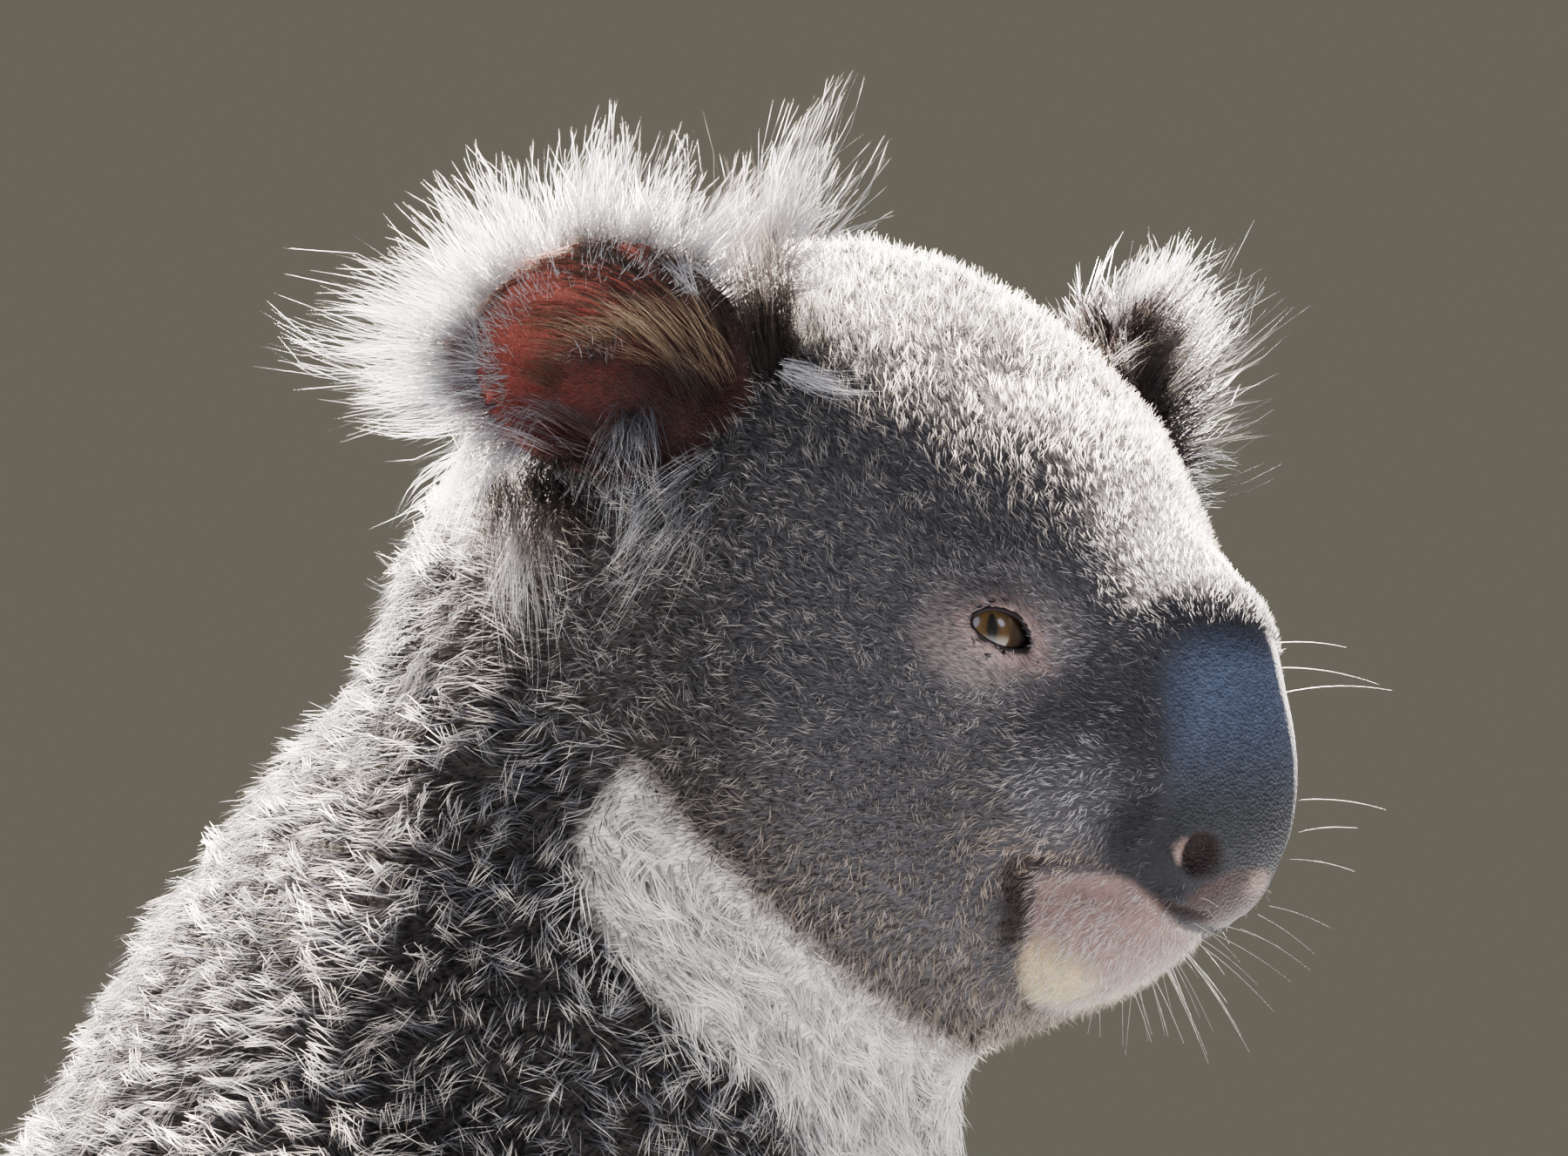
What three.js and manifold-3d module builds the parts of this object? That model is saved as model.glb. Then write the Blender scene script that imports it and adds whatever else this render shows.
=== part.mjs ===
// A life-size still model of an adult koala. It sits on its rump with its forelegs straight down in
// front of it, its hind feet flat beside them, its head raised and turned a little to its right.
// Millimetres, +Z up. The trunk faces -Y, the animal's left is +X, and the origin is on the floor
// under the middle of the seat. Every outline is the one at the tips of the coat.

import * as THREE from 'three';
import { mergeVertices } from 'three/addons/utils/BufferGeometryUtils.js';
import Module from 'manifold-3d';

const wasm = await Module();
wasm.setup();

// ---------------------------------------------------------------- driving dimensions

const GAP = 0.5;                       // left between pieces that meet

const HEAD_CENTRE = [0, -214.4, 385];  // between the roots of the ears, level with the eyes' upper lids
const HEAD_TURN = -25;                 // degrees about the upright, to the animal's right

const PELVIS = { at: [0, -5, 82], r: 88 };
const CHEST = { at: [0, -138, 280], r: 74 };
const THROAT = { at: [0, -148, 312], r: 64 };
const NAPE = { at: [0, -193, 387], r: 58 };
const TRUNK_WIDTH = 1.11;              // the trunk is wider than it is deep
const NECK_WIDTH = 1.05;
// Planes between head and neck and between neck and trunk: a point, and the way they face in Y and Z.
const HEAD_CUT = [[0, -178, 352], [-0.75, 0.66]];
const NECK_CUT = [[0, -145, 300], [-0.3, 0.954]];

const EAR_ROOT = [64, 0, 39];          // middle of the ear's hollow, in the head's own frame
const EAR_SIZE = { wide: 38, tall: 36, thick: 15 };
const EAR_TURN = 33;                   // degrees the hollow faces away from straight ahead

const EYE = { at: [27.5, -50.5, -9], r: 8.2 };
const EYE_OPENING = { across: 9.5, tall: 6, deep: 7 };

const SHOULDER = { at: [68, -150, 246], r: 46 };
const ELBOW = { at: [82, -172, 146], r: 34 };
const WRIST = { at: [67, -220, 40], r: 24 };
const PALM = { at: [66, -238, 14], r: [24, 27, 16] };
const HIP = { at: [74, -24, 86], r: 54 };
const KNEE = { at: [118, -96, 112], r: 37 };
const ANKLE = { at: [104, -62, 34], r: 25 };
const HEEL = { at: [103, -62, 20], r: 20 };
const SOLE = { at: [109, -106, 13], r: [24, 36, 15] };

const FINGER_R = 9;
const TOE_R = 9;
// Digits from the inner side outwards: root beside and behind the pad's middle, aim in degrees, length.
// Fingers one and two stand apart from the other three.
const FINGERS = [
  [-14, 2, -62, 22],
  [-17, -10, -38, 26],
  [-8, -20, -8, 30],
  [4, -22, 8, 32],
  [14, -16, 24, 28],
];
// The big toe is set far back and has no claw; the next two are thin, in one sheath of skin.
const BIG_TOE = [-14, 12, -72, 24];
const THIN_TOES = [[-12, -26, -12, 20], [-3, -28, -4, 22]];
const BROAD_TOES = [[8, -26, 8, 30], [15, -18, 22, 30]];
const CLAW = { length: 21, r: 3.1, curl: 62 };   // curl in degrees from root to tip

const FUR_GREY = 0x6b6a6c;
const FUR_BROWN = 0x77705f;
const FUR_PALE = 0xcfcac2;
const SKIN_NOSE = 0x3a4150;
const SKIN_CHIN = 0xb79a94;
const EYE_BROWN = 0x3b2c1c;
const CLAW_BLACK = 0x1d1a19;

// ---------------------------------------------------------------- shapes as distance fields

const ellipsoid = (c, r) => (x, y, z) => {
  const [qx, qy, qz] = [x - c[0], y - c[1], z - c[2]];
  const k0 = Math.hypot(qx / r[0], qy / r[1], qz / r[2]);
  const k1 = Math.hypot(qx / r[0] ** 2, qy / r[1] ** 2, qz / r[2] ** 2);
  return k0 * (k0 - 1) / Math.max(k1, 1e-6);
};

// The space within a straight taper from one ball to another.
const taper = (a, b) => {
  const ba = b.at.map((v, i) => v - a.at[i]);
  const length2 = ba.reduce((sum, v) => sum + v * v, 0);
  return (x, y, z) => {
    const [px, py, pz] = [x - a.at[0], y - a.at[1], z - a.at[2]];
    const h = THREE.MathUtils.clamp((px * ba[0] + py * ba[1] + pz * ba[2]) / length2, 0, 1);
    return Math.hypot(px - h * ba[0], py - h * ba[1], pz - h * ba[2]) - THREE.MathUtils.lerp(a.r, b.r, h);
  };
};

// Joins b to a with a fillet about k wide.
const blend = (a, b, k) => (x, y, z) => {
  const [da, db] = [a(x, y, z), b(x, y, z)];
  const h = Math.max(k - Math.abs(da - db), 0) / k;
  return Math.min(da, db) - h * h * k / 4;
};

const bothSides = (field) => (x, y, z) => field(Math.abs(x), y, z);
const widened = (field, by) => (x, y, z) => field(x / by, y, z);

// ---------------------------------------------------------------- from fields to meshes

// The surface of a field round a straight core, from core.from to core.to: the vertices of a capsule
// round that core, each sent straight out from the nearest point of the core until the field is zero.
function castRound(field, core, { capRings, sides, rings, reach }) {
  const [from, to] = [new THREE.Vector3(...core.from), new THREE.Vector3(...core.to)];
  const axis = to.clone().sub(from);
  const geometry = new THREE.CapsuleGeometry(1, axis.length(), capRings, sides, rings);
  geometry.applyQuaternion(new THREE.Quaternion().setFromUnitVectors(
    new THREE.Vector3(0, 1, 0),
    axis.clone().normalize(),
  ));
  geometry.translate(...from.clone().add(to).multiplyScalar(0.5));
  const { position } = geometry.attributes;
  const line = new THREE.Line3(from, to);
  for (let i = 0; i < position.count; i++) {
    const vertex = new THREE.Vector3().fromBufferAttribute(position, i);
    const root = line.closestPointToPoint(vertex, true, new THREE.Vector3());
    const out = vertex.sub(root).normalize();
    const fieldAt = (distance) => {
      const p = root.clone().addScaledVector(out, distance);
      return field(p.x, p.y, p.z);
    };
    let [inside, outside] = [0, reach];
    for (let halving = 0; halving < 30; halving++) {
      const middle = (inside + outside) / 2;
      [inside, outside] = fieldAt(middle) < 0 ? [middle, outside] : [inside, middle];
    }
    position.setXYZ(i, ...root.addScaledVector(out, inside));
  }
  return geometry;
}

function meshGeometry(vertices, triangles) {
  const geometry = new THREE.BufferGeometry();
  const places = vertices.flatMap((v) => [v.x, v.y, v.z]);
  geometry.setAttribute('position', new THREE.Float32BufferAttribute(places, 3));
  geometry.setIndex(triangles);
  return geometry;
}

// A closed tube with round ends through balls of given places and radii, as limbs, fingers and claws are.
function sweep(balls, sides, rings, capRings = 2) {
  const curve = new THREE.CatmullRomCurve3(balls.map((ball) => new THREE.Vector3(...ball.at)));
  const widths = new THREE.CatmullRomCurve3(balls.map((ball) => new THREE.Vector3(ball.r, 0, 0)));
  const frames = curve.computeFrenetFrames(rings, false);
  const vertices = [];
  const addRing = (ring, along, out) => {
    const t = ring / rings;
    const radius = widths.getPoint(t).x;
    const centre = curve.getPoint(t).addScaledVector(frames.tangents[ring], along * radius);
    for (let s = 0; s < sides; s++) {
      const angle = 2 * Math.PI * s / sides;
      const offset = frames.normals[ring].clone().multiplyScalar(Math.cos(angle));
      offset.addScaledVector(frames.binormals[ring], Math.sin(angle));
      vertices.push(centre.clone().addScaledVector(offset, radius * out));
    }
  };
  const cap = (i) => Math.PI / 2 * i / (capRings + 1);
  for (let i = capRings; i > 0; i--) addRing(0, -Math.sin(cap(i)), Math.cos(cap(i)));
  for (let ring = 0; ring <= rings; ring++) addRing(ring, 0, 1);
  for (let i = 1; i <= capRings; i++) addRing(rings, Math.sin(cap(i)), Math.cos(cap(i)));
  const rows = vertices.length / sides;
  const triangles = [];
  for (let row = 0; row < rows - 1; row++) {
    for (let s = 0; s < sides; s++) {
      const [a, b] = [row * sides + s, row * sides + (s + 1) % sides];
      triangles.push(a, b, b + sides, a, b + sides, a + sides);
    }
  }
  const first = vertices.length;
  const endPoint = (ring, way) => curve.getPoint(ring / rings)
    .addScaledVector(frames.tangents[ring], way * widths.getPoint(ring / rings).x);
  vertices.push(endPoint(0, -1), endPoint(rings, 1));
  for (let s = 0; s < sides; s++) {
    const next = (s + 1) % sides;
    triangles.push(first, next, s);
    triangles.push(first + 1, first - sides + s, first - sides + next);
  }
  return meshGeometry(vertices, triangles);
}

function ball(at, radii, across = 12, down = 8) {
  const geometry = new THREE.SphereGeometry(1, across, down);
  geometry.rotateX(Math.PI / 2);
  geometry.scale(...radii);
  geometry.translate(...at);
  return geometry;
}

function block(low, high) {
  const size = high.map((v, i) => v - low[i]);
  const geometry = new THREE.BoxGeometry(...size);
  geometry.translate(...low.map((v, i) => v + size[i] / 2));
  return geometry;
}

// ---------------------------------------------------------------- solids, joined and cut

function solid(geometry) {
  const bare = geometry.clone();
  bare.deleteAttribute('normal');
  bare.deleteAttribute('uv');
  const merged = mergeVertices(bare, 1e-4);
  return new wasm.Manifold(new wasm.Mesh({
    numProp: 3,
    vertProperties: new Float32Array(merged.attributes.position.array),
    triVerts: new Uint32Array(merged.index.array),
  }));
}

function geometryOf(manifold) {
  const mesh = manifold.getMesh();
  const geometry = new THREE.BufferGeometry();
  geometry.setAttribute('position', new THREE.BufferAttribute(new Float32Array(mesh.vertProperties), 3));
  geometry.setIndex(new THREE.BufferAttribute(new Uint32Array(mesh.triVerts), 1));
  return geometry;
}

// The same mesh with each vertex moved out by the gap, to cut room for a piece in its neighbour.
function grown(manifold, by = GAP) {
  const geometry = geometryOf(manifold);
  geometry.computeVertexNormals();
  const { position, normal } = geometry.attributes;
  for (let i = 0; i < position.count; i++) {
    position.setXYZ(
      i,
      position.getX(i) + by * normal.getX(i),
      position.getY(i) + by * normal.getY(i),
      position.getZ(i) + by * normal.getZ(i),
    );
  }
  geometry.deleteAttribute('normal');
  return solid(geometry);
}

// All the space on one side of a plane, half the gap past it. The plane faces along `facing`, given as
// [y, z], and the space is the one behind it or ahead of it.
function cut(centre, facing, behind, reach = 400) {
  const geometry = new THREE.BoxGeometry(2 * reach, 2 * reach, 2 * reach);
  geometry.translate(0, 0, behind ? GAP / 2 - reach : reach - GAP / 2);
  geometry.rotateX(-Math.atan2(facing[0], facing[1]));
  geometry.translate(...centre);
  return solid(geometry);
}

// The piece of a parted body that holds most of it, without crumbs.
const largest = (manifold) => manifold.decompose().sort((a, b) => b.volume() - a.volume())[0];
const byHeight = (a, b) => b.boundingBox().max[2] - a.boundingBox().max[2];

const toHead = new THREE.Matrix4()
  .makeRotationZ(THREE.MathUtils.degToRad(HEAD_TURN))
  .setPosition(...HEAD_CENTRE);
const fromHead = toHead.clone().invert();
const inHead = (field) => (x, y, z) => {
  const p = new THREE.Vector3(x, y, z).applyMatrix4(fromHead);
  return field(p.x, p.y, p.z);
};
const placedInHead = (geometry) => solid(geometry.clone().applyMatrix4(toHead));
const mirrored = (manifold) => manifold.mirror([1, 0, 0]);

const FLOOR = solid(block([-400, -500, -200], [400, 400, 0]));

// ---------------------------------------------------------------- head, neck and trunk

// Head in its own frame: x to the animal's left, -y ahead, z up.
function headShape() {
  const cranium = ellipsoid([0, 3, 10], [60, 55, 55.5]);
  const brow = ellipsoid([0, -28, -8], [46, 36, 40]);
  const bridge = taper({ at: [0, -34, 9], r: 25 }, { at: [0, -66, -13], r: 20 });
  const cheeks = bothSides(ellipsoid([31, -12, -29], [31, 35, 34]));
  const jowl = ellipsoid([0, -18, -45], [42, 38, 27]);
  const muzzle = ellipsoid([0, -54, -32], [30, 30, 22]);
  const nose = ellipsoid([0, -74.5, -32], [16.3, 17.5, 27]);
  const chin = blend(ellipsoid([0, -52, -53.5], [16, 20, 12.5]), ellipsoid([0, -38, -56], [18, 22, 14]), 6);
  let head = blend(cranium, brow, 14);
  head = blend(head, bridge, 10);
  head = blend(head, cheeks, 12);
  head = blend(head, jowl, 12);
  head = blend(head, muzzle, 8);
  head = blend(head, nose, 6);
  return blend(head, chin, 3);
}

function trunkShape() {
  const back = taper(PELVIS, CHEST);
  const breast = ellipsoid([0, -158, 288], [64, 64, 70]);
  const belly = ellipsoid([0, -50, 92], [88, 84, 82]);
  return widened(blend(blend(back, breast, 24), belly, 30), TRUNK_WIDTH);
}

const neckShape = widened(taper(THROAT, NAPE), NECK_WIDTH);
const bodyShape = blend(blend(trunkShape(), neckShape, 20), inHead(headShape()), 22);

const HEAD_CORE = { from: [0, -50, -24], to: [0, 0, 6] };
const headCast = castRound(
  (x, y, z) => bodyShape(...new THREE.Vector3(x, y, z).applyMatrix4(toHead)),
  HEAD_CORE,
  { capRings: 7, sides: 24, rings: 4, reach: 110 },
);
const torsoCast = castRound(
  bodyShape,
  { from: PELVIS.at, to: NAPE.at },
  { capRings: 4, sides: 18, rings: 12, reach: 130 },
);
const aboveNeck = placedInHead(headCast).subtract(cut(...HEAD_CUT, true));
const belowHead = solid(torsoCast).subtract(cut(...HEAD_CUT, false));
const neck = belowHead.subtract(cut(...NECK_CUT, true));
const trunkWhole = belowHead.subtract(cut(...NECK_CUT, false));

// ---------------------------------------------------------------- ears

// An ear in its own frame: x out along its width, y up, z out of the hollow.
function earGeometryAt(at, radii, across, down) {
  const geometry = ball(at, radii, across, down);
  geometry.rotateX(Math.PI / 2);
  geometry.rotateZ(THREE.MathUtils.degToRad(EAR_TURN));
  geometry.translate(...EAR_ROOT);
  return geometry;
}

const { wide, tall, thick } = EAR_SIZE;
const ear = solid(earGeometryAt([4, 3, -4], [wide, tall, thick], 14, 8))
  .subtract(solid(earGeometryAt([0, 0, 7], [22.5, 19, 13.5], 10, 5)));
const earLeft = ear.transform(toHead.toArray());
const earRight = ear.mirror([1, 0, 0]).transform(toHead.toArray());

// ---------------------------------------------------------------- eyes, nose and lower jaw

const eyeAt = (side) => [side * EYE.at[0], EYE.at[1], EYE.at[2]];
const eyeBall = (side) => placedInHead(ball(eyeAt(side), [EYE.r, EYE.r, EYE.r], 10, 6));

// The room between the lids, a flat almond that faces out over the eye.
function eyeOpening(side) {
  const { across, tall, deep } = EYE_OPENING;
  const geometry = ball([0, 0, 0], [across, deep, tall], 10, 6);
  geometry.rotateZ(side * Math.PI / 4);
  geometry.translate(side * (EYE.at[0] + 5.5), EYE.at[1] - 5.5, EYE.at[2]);
  return placedInHead(geometry);
}

const eyeLeft = eyeBall(1);
const eyeRight = eyeBall(-1);
const nostril = (side) => placedInHead(ball([side * 12.5, -85, -48], [4, 5, 3.6], 8, 6));
const nosePad = placedInHead(ball([0, -83, -30], [17.2, 16, 24], 12, 8));
const jawRoom = placedInHead(block([-26, -110, -90], [26, -34, 0]).rotateX(0.22).translate(0, 0, -36.5));

let head = aboveNeck;
for (const piece of [earLeft, earRight, eyeLeft, eyeRight]) {
  head = head.subtract(grown(piece));
}
head = head.subtract(eyeOpening(1)).subtract(eyeOpening(-1));
const nose = largest(head.intersect(nosePad).subtract(nostril(1)).subtract(nostril(-1)));
head = head.subtract(grown(nosePad));
const lowerJaw = largest(head.intersect(jawRoom));
head = largest(head.subtract(grown(jawRoom)));

// ---------------------------------------------------------------- limbs, on the animal's left

const sheet = (at, towards, reach) => {
  const geometry = new THREE.BoxGeometry(2 * reach, 2 * reach, GAP);
  const facing = new THREE.Vector3(...towards).sub(new THREE.Vector3(...at)).normalize();
  const turn = new THREE.Quaternion().setFromUnitVectors(new THREE.Vector3(0, 0, 1), facing);
  geometry.applyQuaternion(turn);
  geometry.translate(...at);
  return solid(geometry);
};

const between = (a, b, t, r) => ({
  at: a.at.map((v, i) => THREE.MathUtils.lerp(v, b.at[i], t)),
  r: r ?? THREE.MathUtils.lerp(a.r, b.r, t),
});

const midArm = between(SHOULDER, ELBOW, 0.5);
const midForearm = between(ELBOW, WRIST, 0.5);
const armWhole = solid(sweep([SHOULDER, midArm, ELBOW, midForearm, WRIST], 10, 7, 2));
const thighWhole = solid(sweep([HIP, between(HIP, KNEE, 0.5), KNEE], 10, 4, 2));
const shinWhole = solid(sweep([between(KNEE, ANKLE, 0.1), between(KNEE, ANKLE, 0.5), ANKLE], 10, 3, 2));

// A digit from its root to its tip: two short bones with a bend between them, resting on the floor.
function digit(root, aim, length, radius) {
  const turn = THREE.MathUtils.degToRad(aim);
  const ahead = [Math.sin(turn), -Math.cos(turn)];
  const along = (distance, height) => [root[0] + ahead[0] * distance, root[1] + ahead[1] * distance, height];
  return {
    ahead,
    tip: along(length, radius * 0.8),
    geometry: sweep([
      { at: along(0, radius * 1.25), r: radius },
      { at: along(length * 0.5, radius * 1.35), r: radius * 1.02 },
      { at: along(length, radius * 0.85), r: radius * 0.82 },
    ], 6, 2, 1),
  };
}

// A hooked claw that leaves the digit level and curls down to its point.
function claw({ tip, ahead }) {
  const curl = THREE.MathUtils.degToRad(CLAW.curl);
  const bendRadius = CLAW.length / curl;
  const balls = [0, 0.34, 0.67, 1].map((t) => {
    const out = bendRadius * Math.sin(curl * t);
    const down = bendRadius * (1 - Math.cos(curl * t));
    return {
      at: [tip[0] + ahead[0] * (out + 3), tip[1] + ahead[1] * (out + 3), tip[2] + 5.5 - down],
      r: THREE.MathUtils.lerp(CLAW.r, 0.6, t),
    };
  });
  return solid(sweep(balls, 5, 2, 0));
}

// A hand or foot: its pad, joined to its digits, with the claws let into their tips.
function paw(pad, digits) {
  let whole = solid(ball(pad.at, pad.r, 10, 6));
  for (const one of digits) {
    whole = whole.add(solid(one.geometry));
  }
  whole = whole.subtract(FLOOR);
  const claws = digits.filter((one) => one.clawed).map(claw);
  for (const one of claws) {
    whole = whole.subtract(grown(one, 0.3));
  }
  return { whole: largest(whole), claws };
}

const clawed = (spec) => ({ ...spec, clawed: true });
function digitOn(pad, [beside, behind, aim, length], radius) {
  return digit([pad.at[0] + beside, pad.at[1] + behind], aim, length, radius);
}

const fingers = FINGERS.map((row) => clawed(digitOn(PALM, row, FINGER_R)));
const bigToe = digitOn(SOLE, BIG_TOE, TOE_R + 1);
const toes = [
  ...THIN_TOES.map((row) => clawed(digitOn(SOLE, row, TOE_R - 2))),
  ...BROAD_TOES.map((row) => clawed(digitOn(SOLE, row, TOE_R))),
];

const hand = paw(PALM, fingers);
const foot = paw(SOLE, [bigToe, ...toes]);
const instep = { at: SOLE.at, r: 16 };
const heel = solid(sweep([HEEL, between(HEEL, instep, 0.6), instep], 8, 2, 1));
foot.whole = foot.whole.add(heel.subtract(FLOOR));

const [upperArm, forearmWhole] = armWhole
  .subtract(sheet(ELBOW.at, [ELBOW.at[0] - 10, ELBOW.at[1] - 40, ELBOW.at[2] - 110], 60))
  .decompose()
  .sort(byHeight);
const forearm = largest(forearmWhole.subtract(grown(hand.whole)).subtract(FLOOR));
const thigh = largest(thighWhole.subtract(FLOOR).subtract(grown(foot.whole)));
const shin = largest(shinWhole.subtract(FLOOR).subtract(grown(thigh)).subtract(grown(foot.whole)));

let trunk = trunkWhole.subtract(FLOOR);
let neckPiece = neck;
for (const limb of [upperArm, thigh, shin, foot.whole, forearm]) {
  trunk = trunk.subtract(grown(limb)).subtract(grown(mirrored(limb)));
  neckPiece = neckPiece.subtract(grown(limb)).subtract(grown(mirrored(limb)));
}

// ---------------------------------------------------------------- the group of named pieces

const koala = new THREE.Group();

function addPiece(name, manifold, color, roughness = 0.9) {
  const material = new THREE.MeshStandardMaterial({ color, roughness, metalness: 0 });
  const piece = new THREE.Mesh(geometryOf(manifold), material);
  piece.name = name;
  koala.add(piece);
}

addPiece('trunk', largest(trunk), FUR_GREY);
addPiece('neck', largest(neckPiece), FUR_GREY);
addPiece('head', head, FUR_GREY);
addPiece('lower_jaw', lowerJaw, SKIN_CHIN);
addPiece('nose', nose, SKIN_NOSE, 0.55);
addPiece('ear_left', earLeft, FUR_PALE);
addPiece('ear_right', earRight, FUR_PALE);
addPiece('eye_left', eyeLeft, EYE_BROWN, 0.1);
addPiece('eye_right', eyeRight, EYE_BROWN, 0.1);

for (const [side, placed] of [['left', (piece) => piece], ['right', mirrored]]) {
  addPiece(`upper_arm_${side}`, placed(upperArm), FUR_GREY);
  addPiece(`forearm_${side}`, placed(forearm), FUR_GREY);
  addPiece(`hand_${side}`, placed(hand.whole), FUR_BROWN);
  addPiece(`thigh_${side}`, placed(thigh), FUR_GREY);
  addPiece(`shin_${side}`, placed(shin), FUR_GREY);
  addPiece(`foot_${side}`, placed(foot.whole), FUR_BROWN);
  hand.claws.forEach((one, i) => addPiece(`claw_hand_${side}_${i + 1}`, placed(one), CLAW_BLACK, 0.4));
  foot.claws.forEach((one, i) => addPiece(`claw_foot_${side}_${i + 2}`, placed(one), CLAW_BLACK, 0.4));
}

export default koala;
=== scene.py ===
"""The koala's looks: one skin over all the flesh, the coat as tufts of solid mesh, ear fringes, eyes,
whiskers and claws, in a plain studio. Shapes are worked out in millimetres, +Z up, the trunk facing -Y."""
import math

import bpy
import numpy as np
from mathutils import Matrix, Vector


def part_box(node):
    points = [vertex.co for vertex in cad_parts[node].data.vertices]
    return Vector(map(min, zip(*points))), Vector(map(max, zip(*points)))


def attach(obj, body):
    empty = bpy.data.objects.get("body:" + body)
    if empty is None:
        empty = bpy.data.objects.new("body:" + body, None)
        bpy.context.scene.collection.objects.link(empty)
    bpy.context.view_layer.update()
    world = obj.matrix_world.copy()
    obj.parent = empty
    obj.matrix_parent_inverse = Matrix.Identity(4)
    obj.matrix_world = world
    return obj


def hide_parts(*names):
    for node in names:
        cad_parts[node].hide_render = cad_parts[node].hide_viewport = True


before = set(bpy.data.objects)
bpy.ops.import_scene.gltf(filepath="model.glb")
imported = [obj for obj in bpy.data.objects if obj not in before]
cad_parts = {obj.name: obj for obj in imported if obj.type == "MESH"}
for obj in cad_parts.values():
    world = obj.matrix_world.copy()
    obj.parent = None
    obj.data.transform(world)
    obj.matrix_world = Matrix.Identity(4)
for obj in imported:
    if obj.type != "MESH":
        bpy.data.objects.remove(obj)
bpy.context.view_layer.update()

MM = 0.001                      # metres in a millimetre
F = np.float32
SIDES = {1: "left", -1: "right"}           # the sign of a side across the body, and its word in names


def middle(node):
    """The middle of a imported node's box, in millimetres."""
    low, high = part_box(node)
    return (np.array(low) + np.array(high)) / 2 / MM


# ---------------------------------------------------------------- driving sizes, millimetres

EYE_AHEAD, EYE_DROP = 50.5, 9.0            # the eyes from the head's own origin
EYE_R = 8.2
EYE_AIM = math.radians(57)                 # how far the eyes look forwards from straight out
EYE_MIDDLES = {1: middle("eye_left"), -1: middle("eye_right")}
ACROSS_EYES = EYE_MIDDLES[1] - EYE_MIDDLES[-1]
EYE_SIDE = np.linalg.norm(ACROSS_EYES) / 2
HEAD_TURN = math.atan2(ACROSS_EYES[1], ACROSS_EYES[0])
TURN_COS, TURN_SIN = math.cos(HEAD_TURN), math.sin(HEAD_TURN)
HEAD_ORIGIN = (EYE_MIDDLES[1] + EYE_MIDDLES[-1]) / 2 + np.array(
    [-TURN_SIN * EYE_AHEAD, TURN_COS * EYE_AHEAD, EYE_DROP])

PELVIS, PELVIS_R = (0, -5, 82), 88
CHEST, CHEST_R = (0, -138, 280), 74
THROAT, THROAT_R = (0, -148, 312), 64
NAPE, NAPE_R = (0, -193, 387), 58
TRUNK_WIDTH, NECK_WIDTH = 1.11, 1.05
SHOULDER, SHOULDER_R = (68, -150, 246), 46
ELBOW, ELBOW_R = (82, -172, 146), 34
WRIST, WRIST_R = (67, -220, 40), 24
PALM, PALM_R = (66, -238, 14), (24, 27, 16)
HIP, HIP_R = (74, -24, 86), 54
KNEE, KNEE_R = (118, -96, 112), 37
ANKLE, ANKLE_R = (104, -62, 34), 25
HEEL, HEEL_R = (103, -62, 20), 20
SOLE, SOLE_R = (109, -106, 13), (24, 36, 15)
EAR_ROOT = (64, 0, 39)
EAR_TURN = math.radians(33)
EAR_BOWL_R = (23.5, 20)                    # half width and half height of the hollow's rim
EAR_BOWL_DEEP = 12
FACE_GRID = 1.08                           # spacing of the skin mesh on the face
SKIN_CLEAR, HAIR_CLEAR, CLAW_CLEAR = 0.4, 0.9, 0.3     # how far above the floor each of them stays
COMBED_FROM = (0, -104, -34)               # the head's coat lies away from this point of its own space

# Digits as (x and y from the pad's middle, degrees outwards, length, radius, claw node number).
FINGERS = ((-14, 2, -62, 22, 9, 1), (-17, -10, -38, 26, 9, 2), (-8, -20, -8, 30, 9, 3),
           (4, -22, 8, 32, 9, 4), (14, -16, 24, 28, 9, 5))
TOES = ((-14, 12, -72, 24, 10, 0), (-12, -26, -12, 20, 7, 2), (-3, -28, -4, 22, 7, 3),
        (8, -26, 8, 30, 9, 4), (15, -18, 22, 30, 9, 5))


# ---------------------------------------------------------------- distance fields over whole arrays

def vec(*values):
    """A point, a direction or a set of radii as single-precision numbers."""
    return np.array(values, F)


def length_of(v):
    """The root of the sum of the squares along the last axis."""
    return np.sqrt(np.einsum("...i,...i->...", v, v))


def unit(v):
    """The same direction, one long."""
    return v / np.maximum(length_of(v), 1e-6)[..., None]


def egg(p, centre, radii):
    """Distance to an ellipsoid: the scaled length less one, divided by its own slope."""
    q = (p - vec(*centre)) / vec(*radii)
    scaled = length_of(q)
    return scaled * (scaled - 1) / np.maximum(length_of(q / vec(*radii)), 1e-6)


def taper(p, a, b, ra, rb):
    """Distance to the line from a to b, less a radius that goes evenly from ra to rb."""
    a, b = vec(*a), vec(*b)
    along = b - a
    h = np.clip((p - a) @ along / (along @ along), 0, 1)
    return length_of(p - a - h[..., None] * along) - (ra + (rb - ra) * h)


def fillet(a, b, width):
    """Two solids joined with a rounded fillet of about this width."""
    near = np.maximum(width - np.abs(a - b), 0) / width
    return np.minimum(a, b) - near * near * width / 4


def carve(a, b, width):
    """Solid a with b taken out of it, the new edge rounded over this width."""
    return -fillet(-a, b, width)


def smooth(x, low, high):
    """Zero below low, one above high, an even S between."""
    t = np.clip((x - low) / (high - low), 0, 1)
    return t * t * (3 - 2 * t)


def mirrored(p):
    """Both sides laid over each other: x without its sign."""
    return np.concatenate([np.abs(p[..., :1]), p[..., 1:]], -1)


def to_head(p):
    """Body space into the head's own: x to its left, y behind it, z up."""
    q = p - HEAD_ORIGIN.astype(F)
    return np.stack([TURN_COS * q[..., 0] + TURN_SIN * q[..., 1],
                     -TURN_SIN * q[..., 0] + TURN_COS * q[..., 1], q[..., 2]], -1)


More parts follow.
